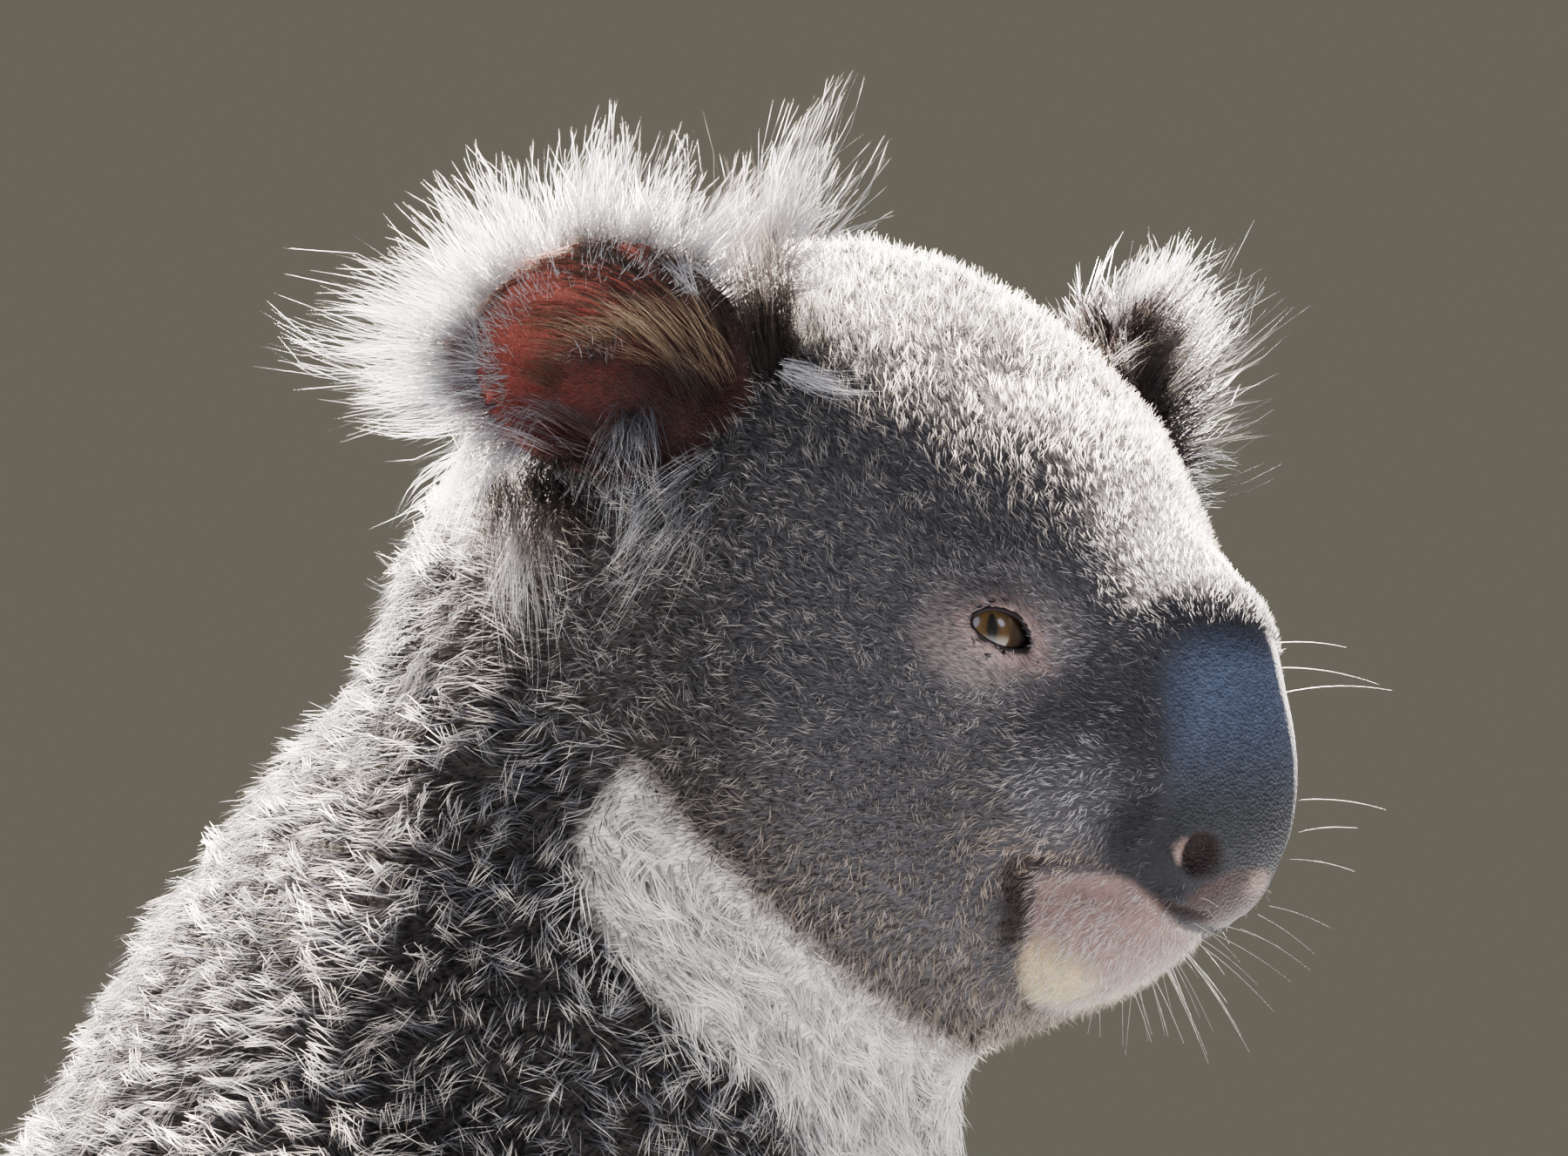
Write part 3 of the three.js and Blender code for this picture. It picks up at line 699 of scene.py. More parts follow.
def skin_colours(r):
    """The skin's colour: each place's laid over the last by its weight. The ear darkens inwards and
    downwards as painted shade, and its red is its pink skin deepened as a painted glow of light shining
    through it; the nose pad is blue-grey above as a painted reflection of the sky, and darkens to its own
    near black at its lower end and to its flanks and edges as painted shade; the patch beside the nostril
    and the pocket at the mouth's corner are painted shade; the rim of each nostril is rosy, its pink
    lightened as a painted highlight."""
    q, ear_at = r["q"], r["ear_at"]
    # The ear's inside: pink skin deepened red as a painted glow of light through it, darker inwards and
    # downwards as painted shade.
    inwards = smooth(-ear_at[..., 0] - 0.6 * ear_at[..., 1], -14, 14)
    ear = mixed(SKIN["ear"], SKIN["ear_shade"], np.maximum(inwards, smooth(-ear_at[..., 1], 12, 17)))
    # The pad: blue-grey above as a painted reflection of the sky, near black below, and darker at its edges
    # and flanks as painted shade.
    low, edge = smooth(-q[..., 2], 14, 42), smooth(pad_edge(q), -6, 0)
    pad = mixed(SKIN["nose"], SKIN["nose_low"], np.maximum(low, 0.7 * edge))
    shaded_flank = smooth(np.abs(q[..., 0]), 9, 14) * smooth(-q[..., 2], 34, 46)
    pad = mixed(pad, SKIN["shaded_lobe"] * 0.7, shaded_flank)
    places = (
        (r["face"], SKIN["face"]), (0.5 * r["eye_ring"], SKIN["eye_ring"]),
        # Round the pad and beside the nostril: painted shade.
        (0.6 * r["nose_edge"], SKIN["shaded_lobe"]), (r["shaded_lobe"], SKIN["shaded_lobe"]),
        (0.25 * r["lid"], SKIN["eye_bare"]), (0.7 * r["tear"], SKIN["tear"]),
        (0.9 * r["lid_edge"], SKIN["eye_bare"]), (r["eyeball"], SKIN["lid"]), (r["chin"], SKIN["chin"]),
        (0.7 * r["straw"], HAIR["straw"]), (r["ear"], ear), (r["nose"], pad), (r["lip_front"], SKIN["lip"]),
        # The pocket at the mouth's corner: painted shade.
        (r["bib"], SKIN["bib"]), (0.9 * r["mouth"], SKIN["mouth"]), (0.85 * r["pocket"], SKIN["mouth"]))
    c = np.tile(SKIN["under"], (len(r["head"]), 1))
    for weight, colour in places:
        c = mixed(c, colour, weight)
    pale = 0.9 * r["lip_front"] * (1 - smooth(length_of(q - vec(2.4, -86, -50.4)), 1.5, 4.5))
    c = mixed(c, SKIN["lip_pale"], pale)
    m = mirrored(q)
    # The nostril's rim: its own rosy skin, lightened as a painted highlight.
    rosy = 1 - smooth(egg(m, (11.6, -81.6, -47.4), (1.3, 2.0, 3.0)), -0.5, 0.6)
    c = mixed(c, SKIN["tear"], 0.7 * rosy)
    return mixed(c, SKIN["nostril"], 1 - smooth(nostril(m), -0.1, 0.9))


# ---------------------------------------------------------------- materials

def node(tree, kind, links=(), **settings):
    """Adds a node, sets its properties and inputs, and links (input, from node, output)."""
    made = tree.nodes.new(kind)
    for name, value in settings.items():
        if name in made.inputs.keys():
            made.inputs[name].default_value = value
        elif hasattr(made, name):
            setattr(made, name, value)
        else:
            made.inputs[name.replace("_", " ")].default_value = value
    for name, source, output in links:
        tree.links.new(source.outputs[output], made.inputs[name])
    return made


def new_material(name):
    """An empty material and its tree of nodes."""
    material = bpy.data.materials.new(name)
    material.use_nodes = True
    tree = material.node_tree
    tree.nodes.clear()
    return material, tree


def finish_material(tree, shader):
    """The shader joined to the material's surface."""
    node(tree, "ShaderNodeOutputMaterial", links=[("Surface", shader, 0)])


def hair_material():
    """Keratin hair: a dark root and a paler tip, and a soft broad gloss."""
    material, tree = new_material("koala_hair")
    colour = node(tree, "ShaderNodeAttribute", attribute_name="hair_colour")
    shader = node(tree, "ShaderNodeBsdfPrincipled", links=[("Base Color", colour, "Color")],
                  Roughness=0.7, IOR=1.55, Specular_IOR_Level=0.12)
    finish_material(tree, shader)
    return material


# Patterns of the skin: streaks, grains of leather and mottles to a millimetre; how many times longer than
# wide a streak is; and the radius of the head as the pattern goes round it.
STREAKS, GRAINS, MOTTLES = 3.2, 1.9, 0.9
STREAK_LONG, HEAD_WRAP = 4, 55


def skin_material():
    """Bare skin, leather and the shortest hair. Cells half a millimetre across give the nose its leather;
    elsewhere streaks a third of a millimetre wide and four times as long follow the lie of the coat, in
    colour and relief, and read as hair too short to stand up."""
    material, tree = new_material("koala_skin")
    place = node(tree, "ShaderNodeTexCoord")
    colour = node(tree, "ShaderNodeAttribute", attribute_name="skin_colour")
    leather = node(tree, "ShaderNodeAttribute", attribute_name="leather")
    combed = node(tree, "ShaderNodeAttribute", attribute_name="combed")
    streaks = node(tree, "ShaderNodeTexNoise", links=[("Vector", combed, "Vector")],
                   Scale=STREAKS, Detail=3.0)
    grain = node(tree, "ShaderNodeTexVoronoi", links=[("Vector", place, "Object")], Scale=GRAINS / MM)
    mottle = node(tree, "ShaderNodeTexNoise", links=[("Vector", place, "Object")],
                  Scale=MOTTLES / MM, Detail=4.0)
    hairy = node(tree, "ShaderNodeMapRange", links=[("Value", streaks, "Fac")],
                 From_Min=0.35, From_Max=0.66, To_Min=0.45, To_Max=1.75)
    plain = node(tree, "ShaderNodeMapRange", links=[("Value", mottle, "Fac")],
                 From_Min=0.3, From_Max=0.7, To_Min=0.74, To_Max=1.26)
    shade = node(tree, "ShaderNodeMix",
                 links=[("Factor", leather, "Fac"), ("A", hairy, "Result"), ("B", plain, "Result")])
    toned = node(tree, "ShaderNodeVectorMath", links=[(0, colour, "Color"), ("Scale", shade, "Result")],
                 operation="SCALE")
    height = node(tree, "ShaderNodeMix",
                  links=[("Factor", leather, "Fac"), ("A", streaks, "Fac"), ("B", grain, "Distance")])
    rough = node(tree, "ShaderNodeMapRange", links=[("Value", leather, "Fac")], To_Min=0.75, To_Max=0.5)
    relief = node(tree, "ShaderNodeBump", links=[("Height", height, "Result")],
                  Strength=0.6, Distance=0.4 * MM)
    shader = node(tree, "ShaderNodeBsdfPrincipled", IOR=1.45, Specular_IOR_Level=0.1,
                  links=[("Base Color", toned, "Vector"), ("Roughness", rough, "Result"),
                         ("Normal", relief, "Normal")])
    finish_material(tree, shader)
    return material


# The iris from the middle of the pupil to its edge: the place of each shade, as a share of the way.
IRIS = ((0.0, "#050404"), (0.22, "#0a0706"), (0.28, "#21170a"), (0.55, "#3e2c12"), (0.8, "#24190d"),
        (1.0, "#0f0b0a"))


def eye_material():
    """A wet eyeball: an olive-brown iris with an upright slit pupil and a dark rim, under a clear film of
    tears that mirrors the lights as small sharp spots."""
    material, tree = new_material("koala_eye")
    ring = node(tree, "ShaderNodeAttribute", attribute_name="iris")
    ramp = node(tree, "ShaderNodeValToRGB", links=[("Fac", ring, "Fac")])
    while len(ramp.color_ramp.elements) < len(IRIS):
        ramp.color_ramp.elements.new(0.5)
    for element, (at, code) in zip(ramp.color_ramp.elements, IRIS):
        element.position = at
        element.color = (*linear(code), 1)
    shader = node(tree, "ShaderNodeBsdfPrincipled", links=[("Base Color", ramp, "Color")],
                  Roughness=0.3, IOR=1.38, Coat_Weight=1.0, Coat_Roughness=0.03)
    finish_material(tree, shader)
    return material


def plain_material(name, code, roughness, **settings):
    """One even colour and gloss."""
    material, tree = new_material(name)
    shader = node(tree, "ShaderNodeBsdfPrincipled", Base_Color=(*linear(code), 1), Roughness=roughness,
                  **settings)
    finish_material(tree, shader)
    return material


# ---------------------------------------------------------------- building the skin

HEAD_WITHIN, BODY_BEYOND = 105, 250        # distances from the head's upright axis


def grid_place(q):
    """The grid turns with the head within the first distance, and unwinds to the body by the second."""
    turn = HEAD_TURN * (1 - smooth(np.hypot(q[..., 0], q[..., 1]), HEAD_WITHIN, BODY_BEYOND))
    c, s = np.cos(turn), np.sin(turn)
    turned = np.stack([c * q[..., 0] - s * q[..., 1], s * q[..., 0] + c * q[..., 1], q[..., 2]], -1)
    return (turned + HEAD_ORIGIN).astype(F)


def combed(q):
    """A place along and across the lie of the hair on the head, in millimetres: across it, a circle of the
    head's own width round the line ahead of the nose; along it, a quarter of the distance from the point
    that the coat is combed from, so that patterns come out four times longer."""
    away = q - vec(*COMBED_FROM)
    around = np.hypot(away[:, 0], away[:, 2])
    ring = np.stack([away[:, 0], away[:, 2]], -1) / np.maximum(around, 1e-3)[:, None]
    return np.concatenate([ring * HEAD_WRAP, length_of(away)[:, None] / STREAK_LONG], -1)


def build_skin():
    """The finest grid lines fall on the face, finer ones on the paws, and the widest on the trunk."""
    axes = (
        lines(-186, (-140, 7), (-92, 4), (-38, 1.8), (38, FACE_GRID), (92, 1.8), (140, 4), (180, 7)),
        lines(-118, (-98, 4), (-30, FACE_GRID), (26, 1.8), (60, 4), (312, 7)),
        lines(-390, (-346, 3), (-84, 7), (-74, 2.5), (6, FACE_GRID), (70, 2.0), (82, 4)),
    )
    vertices, quads = net(skin_shape, axes, grid_place)
    return settle(skin_shape, vertices, 2), quads


def normals_of(vertices, quads):
    """Each vertex's normal, the sum of its quads' area vectors made one long, and each quad's area, half the
    length of the cross product of its diagonals."""
    a, b, c, d = (vertices[quads[:, k]] for k in range(4))
    area = np.cross(c - a, d - b) / 2
    total = np.zeros_like(vertices)
    for k in range(4):
        for axis in range(3):
            total[:, axis] += np.bincount(quads[:, k], area[:, axis], len(vertices))
    return unit(total), length_of(area)


# ---------------------------------------------------------------- sampling roots on the skin

def roots_on(vertices, quads, normals, areas, per_area, rng):
    """Points spread over the quads in proportion to area times the wanted number on each square
    millimetre, taken at even steps of the running total so that they spread evenly too. The place in a quad
    and the normal there are shared out between its corners."""
    wanted = areas * per_area
    total = np.cumsum(wanted)
    count = int(total[-1])
    ticks = (np.arange(count) + rng.random(count)) * total[-1] / count
    chosen = np.searchsorted(total, ticks)
    chosen = np.minimum(chosen, len(quads) - 1)
    u, v = rng.random((2, count, 1)).astype(F)
    corner = [vertices[quads[chosen, k]] for k in range(4)]
    facing = [normals[quads[chosen, k]] for k in range(4)]
    place, normal = ((c[0] * (1 - u) + c[1] * u) * (1 - v) + (c[3] * (1 - u) + c[2] * u) * v
                     for c in (corner, facing))
    return place.astype(F), unit(normal).astype(F)


ROOT_DEEP = 0.4                            # how far under the skin a hair starts
CORE_R, CORE_ARC = 80, 126                 # radius of the unwrap's round ends, and a quarter turn of them
EAR_SHEET = 120                            # an ear is laid flat by its own x and y, on a sheet this wide
PATCH = 0.003                              # side of one lock's patch on the unwrap


def capsule_unwrap(p, a, b):
    """The skin laid flat round a straight core: the angle round it across, the way along it upwards,
    with the round ends measured by their arcs."""
    a, b = vec(*a), vec(*b)
    axis = b - a
    long = float(np.sqrt(axis @ axis))
    axis = axis / long
    side = unit(np.cross(axis, vec(1, 0.1, 0)) if abs(axis[0]) < 0.9 else np.cross(axis, vec(0, 1, 0)))
    other = np.cross(axis, side)
    t = np.clip((p - a) @ axis, 0, long)
    out = unit(p - a - t[:, None] * axis)
    round_end = np.arcsin(np.clip(out @ axis, -1, 1)) * CORE_R
    u = np.arctan2(out @ other, out @ side) / (2 * math.pi) + 0.5
    v = (t + round_end + CORE_ARC) / (long + 2 * CORE_ARC)
    return np.stack([0.01 + 0.97 * u, 0.01 + 0.97 * v], -1)


# ---------------------------------------------------------------- the coat's plan

# Hair of each place: length, half width, lift and bend in degrees, root spacing, size of clump, share of
# the way that tips draw to the clump, and how far hairs stray from the lie of the coat, in degrees.
COAT = {
    "body": (20, 0.6, 52, 34, 2.85, 7, 0.55, 36),
    "ruff": (9.0, 0.16, 54, 34, 1.22, 4.0, 0.85, 56),
    "bib": (10, 0.15, 32, 24, 1.0, 5.0, 0.75, 34),
    "belly": (19, 0.55, 36, 30, 2.5, 8, 0.45, 30),
    "limb": (13, 0.6, 42, 30, 2.75, 5, 0.5, 36),
    "paw": (5, 0.45, 30, 18, 2.3, 2.8, 0.3, 30),
    "crown": (3.9, 0.092, 54, 34, 0.82, 2.0, 0.38, 90),
    "jaw": (5.2, 0.14, 42, 28, 0.88, 2.8, 0.65, 64),
    "face": (2.6, 0.095, 44, 20, 0.67, 1.5, 0.4, 64),
    "muzzle": (2.0, 0.10, 38, 14, 0.68, 1.3, 0.3, 48),
    "chin": (3.2, 0.08, 22, 8, 0.66, 2.0, 0.15, 30),
    "lid": (1.8, 0.08, 24, 8, 0.60, 1.4, 0.15, 26),
}
SPACING = 4                                # where a row of the plan has the root spacing


def coat_plan(r):
    """The hair's sizes at each point: the body's, with each place's own mixed in by its weight."""
    plan = np.tile(np.array(COAT["body"], F), (len(r["head"]), 1))
    for name, weight in (("ruff", r["ruff"]), ("bib", r["bib"]), ("belly", r["belly"]), ("limb", r["limb"]),
                         ("paw", r["paw"]), ("crown", r["head"]), ("jaw", r["jaw"]), ("face", r["face"]),
                         ("muzzle", r["muzzle"]), ("chin", r["chin"]), ("lid", r["lid"])):
        plan += (np.array(COAT[name], F) - plan) * weight[:, None]
    return plan


def lie_of_coat(p, n, r):
    """The way the hair points: back from the nose over the head, down the back and flanks, down the bib,
    along the limbs to the digits. Each way is mixed in by its place's weight, and what of it leaves the skin
    is taken off."""
    count = len(p)
    head = turned_from_head(unit(r["q"] - vec(*COMBED_FROM)) + vec(0, 0, -0.12))
    way = np.tile(vec(0, 0.85, -0.52), (count, 1))
    way = mixed(way, np.tile(vec(0, -0.1, -1), (count, 1)), smooth(-n[:, 1], 0.0, 0.6))
    m = r["m"]
    flip = np.stack([np.sign(p[:, 0]), np.ones(count), np.ones(count)], -1)
    way = mixed(way, vec(-0.35, -0.25, -1) * flip, r["bib"])
    down_arm, down_shin = unit(vec(*ELBOW) - vec(*SHOULDER)), unit(vec(*ANKLE) - vec(*KNEE))
    arm = mixed(down_arm, unit(vec(*WRIST) - vec(*ELBOW)), smooth(upper_arm(m) - forearm(m), -8, 8))
    leg = mixed(unit(vec(0.2, -0.35, -0.9)), down_shin, smooth(thigh(m) - shin(m), -8, 8))
    near_arm = (1 - smooth(arm_shape(m), -14, -2)) * (1 - smooth(p[:, 2], 225, 262))
    near_leg = 1 - smooth(leg_shape(m), -14, -2)
    way = mixed(way, leg * flip, near_leg)
    way = mixed(way, arm * flip, near_arm)
    way = mixed(way, np.tile(vec(0, -1, -0.1), (count, 1)), r["paw"])
    way = mixed(way, head, r["head"])
    way = way - n * (way * n).sum(-1, keepdims=True)
    return unit(way)


# ---------------------------------------------------------------- locks of hair

def paths(p, start, end, length, points):
    """Centre lines in equal steps, each step's direction passing evenly from start to end."""
    steps = points - 1
    path = np.empty((len(p), points, 3), F)
    path[:, 0] = p
    for i in range(steps):
        way = unit(mixed(start, end, np.full(len(p), i / max(1, steps - 1))))
        path[:, i + 1] = path[:, i] + way * (length / steps)[:, None]
    return path


def draw_together(path, centre, n, pull):
    """Hairs of one clump lean to its middle, along the skin, by a share of the way that grows with the power
    1.5 of the distance from the root and reaches pull at the tip."""
    away = centre - path[:, 0]
    away = away - n * (away * n).sum(-1, keepdims=True)
    points = path.shape[1]
    for i in range(1, points):
        path[:, i] += away * (pull * (i / (points - 1)) ** 1.5)[:, None]
    return path


def locks(name, path, n, width, shades, atlas, material):
    """Closed tapering locks. Each point of a centre line but the last carries a flat triangle across it,
    ridge outwards, narrowing with the power 0.75 of what is left, and the last is the single tip. shades
    gives the colour at the root, two thirds up and at the tip, and atlas the corner of each lock's patch."""
    path[..., 2] = np.maximum(path[..., 2], HAIR_CLEAR)
    count, points = path.shape[:2]
    rings = points - 1
    size = rings * 3 + 1
    level = unit(np.cross(path[:, 1] - path[:, 0], n))
    verts, shade = np.empty((2, count, size, 3), F)
    patch = np.empty((count, size, 2), F)
    for ring in range(rings):
        t = ring / rings
        radius = (width * (1 - t) ** 0.75)[:, None]
        up = unit(np.cross(level, path[:, ring + 1] - path[:, ring]))
        colour = shades[0] + (shades[1] - shades[0]) * min(1, t * 1.5)
        colour = colour + (shades[2] - shades[1]) * max(0, t * 3 - 2)
        for corner, (across, rise) in enumerate(((0, 0.7), (-1.1, -0.3), (1.1, -0.3))):
            verts[:, ring * 3 + corner] = path[:, ring] + (level * across + up * rise) * radius
            shade[:, ring * 3 + corner] = colour
            patch[:, ring * 3 + corner] = (corner / 3, t)
    verts[:, -1], shade[:, -1], patch[:, -1] = path[:, -1], shades[2], (0.33, 1)
    pattern = [(0, 2, 1)]
    for ring in range(rings - 1):
        for corner in range(3):
            a, b = ring * 3 + corner, ring * 3 + (corner + 1) % 3
            pattern += [(a, b + 3, a + 3), (a, b, b + 3)]
    last = (rings - 1) * 3
    pattern += [(last + corner, last + (corner + 1) % 3, rings * 3) for corner in range(3)]
    faces = (np.array(pattern)[None] + (np.arange(count) * size)[:, None, None]).reshape(-1, 3)
    piece = mesh_piece(name, verts.reshape(-1, 3), faces, material)
    give(piece, "hair_colour", shade.reshape(-1, 3))
    uv = piece.data.uv_layers.new(name="OFBake")
    spots = (atlas[:, None, :] + patch * PATCH).reshape(-1, 2)
    uv.data.foreach_set("uv", spots[faces.ravel()].astype(F).ravel())
    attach(piece, "root")
    return piece


def grow(name, at, n, points, core, material, rng, seed):
    """The coat over one place, from roots at points of the skin. Each hair sets out along the lie of the
    coat, turned along the skin and lifted off it by angles that add up its own chance, that of its small lock
    and that of the larger wave round it. It ends turned further and bent down again. Tips draw to the middle
    of the lock, and a little to the middle of the wave."""
    r = regions(at)
    length, width, lift, bend, _, clump, pull, stray = coat_plan(r).T
    size = float(np.median(clump))
    wave_middle, chance = clumps(at.astype(np.float64), size * 2.7, seed)
    lock_middle, fine = clumps(at.astype(np.float64), size, seed + 1.9)
    own = rng.random((len(at), 5)).astype(F)
    way = lie_of_coat(at, n, r)
    swing = (chance[:, 0] - 0.5) * 1.4 + (fine[:, 0] - 0.5) * 1.6
    swing = swing + (own[:, 0] - 0.5) * (0.4 + 0.7 * r["head"])
    turn = (np.radians(stray) * swing)[:, None]
    way = way * np.cos(turn) + np.cross(n, way) * np.sin(turn)
    curl = (np.radians(stray) * ((fine[:, 1] - 0.5) * 2.2 + (own[:, 4] - 0.5) * 0.5))[:, None]
    later = way * np.cos(curl) + np.cross(n, way) * np.sin(curl)
    length = length * (0.72 + 0.2 * chance[:, 1] + 0.3 * fine[:, 1] + 0.25 * own[:, 1] ** 2)
    first = np.radians(lift * (0.75 + 0.5 * chance[:, 2]) + (own[:, 2] - 0.5) * 22)[:, None]
    final = first - np.radians(bend * (0.7 + 0.6 * fine[:, 2]))[:, None]
    start = way * np.cos(first) + n * np.sin(first)
    end = later * np.cos(final) + n * np.sin(final)
    path = paths(at - n * ROOT_DEEP, start, end, length, points)
    path = draw_together(path, lock_middle, n, pull)
    path = draw_together(path, wave_middle, n, pull * 0.12)
    shades = coat_shades(r, np.stack([fine[:, 0], chance[:, 1], fine[:, 2]], -1), own[:, 3])
    width = width * (0.7 + 0.6 * own[:, 0])
    piece = locks(name, path, n, width, shades, capsule_unwrap(at, *core), material)


# ---------------------------------------------------------------- ears

def ear_point(side, e):
    """An ear's own space into body space: side is 1 for the left ear and -1 for the right."""
    return from_head((vec(*EAR_ROOT) + from_ear_direction(e)) * vec(side, 1, 1)).astype(F)


def ear_way(side, v):
    """A direction in an ear's own space in body space."""
    return turned_from_head(from_ear_direction(v) * vec(side, 1, 1)).astype(F)


def bowl_at(rho):
    """The floor of the hollow at a share of its radius: full depth less the share's square."""
    return -EAR_BOWL_DEEP * (1 - rho ** 2)


def ear_hairs(name, side, e, start, end, length, width, names, material, rng, points, clump=4.5, pull=0.5,
              stray=1.0):
    """Fine hair on an ear from roots, directions and lengths given in the ear's own space. Each direction is
    moved by a random step of the hair's own and one shared by its clump."""
    count = len(e)
    at = ear_point(side, e)
    centre, chance = clumps(at.astype(np.float64), clump, 3.3)
    own = rng.random((count, 4)).astype(F)
    start = unit(start + (own[:, :3] - 0.5) * 0.35 * stray + (chance - 0.5) * 0.4 * stray)
    end = unit(end + (own[:, 1:] - 0.5) * 0.7 * stray + (chance - 0.5) * 1.0 * stray)
    length = length * (0.45 + 0.6 * chance[:, 1] + 0.5 * own[:, 3] ** 2)
    path = paths(at, ear_way(side, start), ear_way(side, end), length.astype(F), points)
    path = draw_together(path, centre, unit(path[:, 1] - path[:, 0]), np.full(count, pull, F))
    tone = 0.72 + 0.4 * own[:, :1] + 0.2 * chance[:, :1]
    ear_piece(name, side, path, e, width, names, tone, material)


def ear_piece(name, side, path, e, width, names, tone, material):
    """Ear hair from centre lines in body space, roots in the ear's own space and shades from root to tip."""
    count = len(path)
    flat = unit(np.cross(path[:, 1] - path[:, 0], ear_way(side, np.tile(vec(0.1, 0.2, 1), (count, 1)))))
    shades = [np.broadcast_to(HAIR[s] if isinstance(s, str) else s, (count, 3)) * tone for s in names]
    atlas = np.clip(np.stack([0.5 + e[:, 0] / EAR_SHEET, 0.5 + e[:, 1] / EAR_SHEET], -1), 0.02, 0.97)
    piece = locks(name, path, flat, np.full(count, width, F), shades, atlas, material)


def ear_wisps(name, side, root, tip, hairs, spread, width, names, material, rng, bow=0.1, points=4):
    """Hair in pointed wisps. Each hair sets out beside its wisp's root, bows towards the wisp's tip and stops
    at its own share of the way, so that the wisp narrows to a point. The line is a curve of the second degree
    from root to tip, drawn towards the bow. About one hair in eight strays from its wisp."""
    bunch = np.repeat(np.arange(len(root)), hairs)
    count = len(bunch)
    long = length_of(tip - root)[:, None]
    side_step = bow * long * rng.normal(size=(len(root), 3))
    own = rng.normal(size=(2, count, 3))
    stray = np.where(rng.random((count, 1)) < 0.12, 0.17, 0.04) * long[bunch]
    start = root[bunch] + own[0] * spread
    goal = tip[bunch] + own[1] * stray
    middle = (start + goal) / 2 + side_step[bunch] + rng.normal(size=(count, 3)) * 0.1 * long[bunch]
    share = rng.uniform(0.25, 1.0, (count, 1, 1)) ** 0.8
    t = share * np.linspace(0, 1, points)[None, :, None]
    path = (1 - t) ** 2 * start[:, None] + 2 * t * (1 - t) * middle[:, None] + t ** 2 * goal[:, None]
    path = ear_point(side, path.reshape(-1, 3).astype(F)).reshape(count, points, 3)
    tone = (0.7 + 0.3 * rng.random((count, 1)) + 0.3 * rng.random((len(root), 1))[bunch]).astype(F)
    ear_piece(name, side, path, start, width, names, tone, material)


def rim_roots(count, rng, low, high, inner, outer, lift):
    """Roots on a band of the ear between two angles, in degrees from outwards, and two shares of the
    radius, lifted off the bowl."""
    phi = np.radians(rng.uniform(low, high, count)).astype(F)
    rho = rng.uniform(inner, outer, count).astype(F)
    out = np.stack([np.cos(phi), np.sin(phi), np.zeros(count)], -1).astype(F)
    e = out * rho[:, None] * vec(EAR_BOWL_R[0], EAR_BOWL_R[1], 0)
    e[:, 2] = bowl_at(rho) + lift
    return phi, rho, out, e


# What differs between the left ear and the right: hairs on the back, how far forwards the fringe is swept,
# its wisps, the angles in degrees that it grows between, its share of the full length, hairs in the hollow.
EARS = {1: {"back": 1800, "swept": 0.65, "wisps": 210, "fringe": (-18, 126), "long": 0.9, "hollow": 2600},
        -1: {"back": 2600, "swept": 0.0, "wisps": 290, "fringe": (-50, 142), "long": 1.0, "hollow": 3500}}


def ear_back(side, material, rng):
    """The back of the ear, thick and pointing outwards to the rim: 7 long at the middle, 14 at the upper rim.
    The left one is dark on the side near the head and at its roots, as painted shade."""
    phi, rho, out, e = rim_roots(EARS[side]["back"], rng, 0, 360, 0.0, 1.0, -1.2)
    start = out * (0.35 + rho[:, None]) + vec(0, 0, -0.55)
    length = 7 + 7 * rho * smooth(np.sin(phi), -0.6, 0.3)
    # On the left ear, the side near the head and the roots are darkened as painted shade.
    shaded_near_head = (1 - smooth(e[:, 0], -18, 6)) * (side > 0)
    middles = mixed(HAIR["silver"], HAIR["dark"], shaded_near_head)
    tips = mixed(HAIR["white"], HAIR["soot"], shaded_near_head * 0.9)
    ear_hairs(f"ear_back_coat_{SIDES[side]}", side, e, start, out + vec(0, -0.15, -0.1), length, 0.24,
              ("dark" if side > 0 else "ash", middles, tips), material, rng, points=3)


def ear_fringe(side, material, rng):
    """The long pale fringe, in wisps behind the rim and over its edge: 12 long, 6 more at the top, and on
    the right ear 11 more where it points straight out, which falls off as a bell over 18 degrees."""
    plan = EARS[side]
    count = plan["wisps"]
    phi, rho, out, e = rim_roots(count, rng, *plan["fringe"], 0.80, 1.04, -0.9)
    e[:, 2] += (2.6 * rng.random(count)).astype(F)
    outer = np.exp(-((np.degrees(phi) + 2) / 18) ** 2) * (side < 0)
    top = smooth(np.sin(phi), -0.6, 0.2)
    length = (12 + 6 * top + 11 * outer) * rng.uniform(0.5, 1.35, count) * plan["long"]
    lean = 0.35 * smooth(np.sin(phi), 0.3, 0.9) * (1 - plan["swept"])
    way = out + np.stack([-lean, 0.2 * top, 0.02 + plan["swept"] + 0 * phi], -1)
    way = way + rng.normal(size=(count, 3)) * 0.16
    tip = e + unit(way) * length[:, None]
    # The left fringe's roots are dark, not grey, as painted shade.
    ear_wisps(f"ear_fringe_{SIDES[side]}", side, e, tip, 16, 1.4, 0.072,
              ("dark" if side > 0 else "grey", "silver", "white"), material, rng, bow=0.13)


def ear_rim_hair(side, material, rng, count=150):
    """Short dark wisps that stand along the inside of the rim, in front of the fringe's roots."""
    phi, rho, out, e = rim_roots(count, rng, 62, 300, 0.86, 1.0, 1.8)
    way = unit(out + vec(-0.3, 0.2, 0.35) + rng.normal(size=(count, 3)) * 0.3)
    tip = e + way * rng.uniform(3, 8, (count, 1))
    ear_wisps(f"ear_rim_hair_{SIDES[side]}", side, e, tip, 10, 1.0, 0.08, ("dark", "umber", "silver"),
              material, rng, points=3)


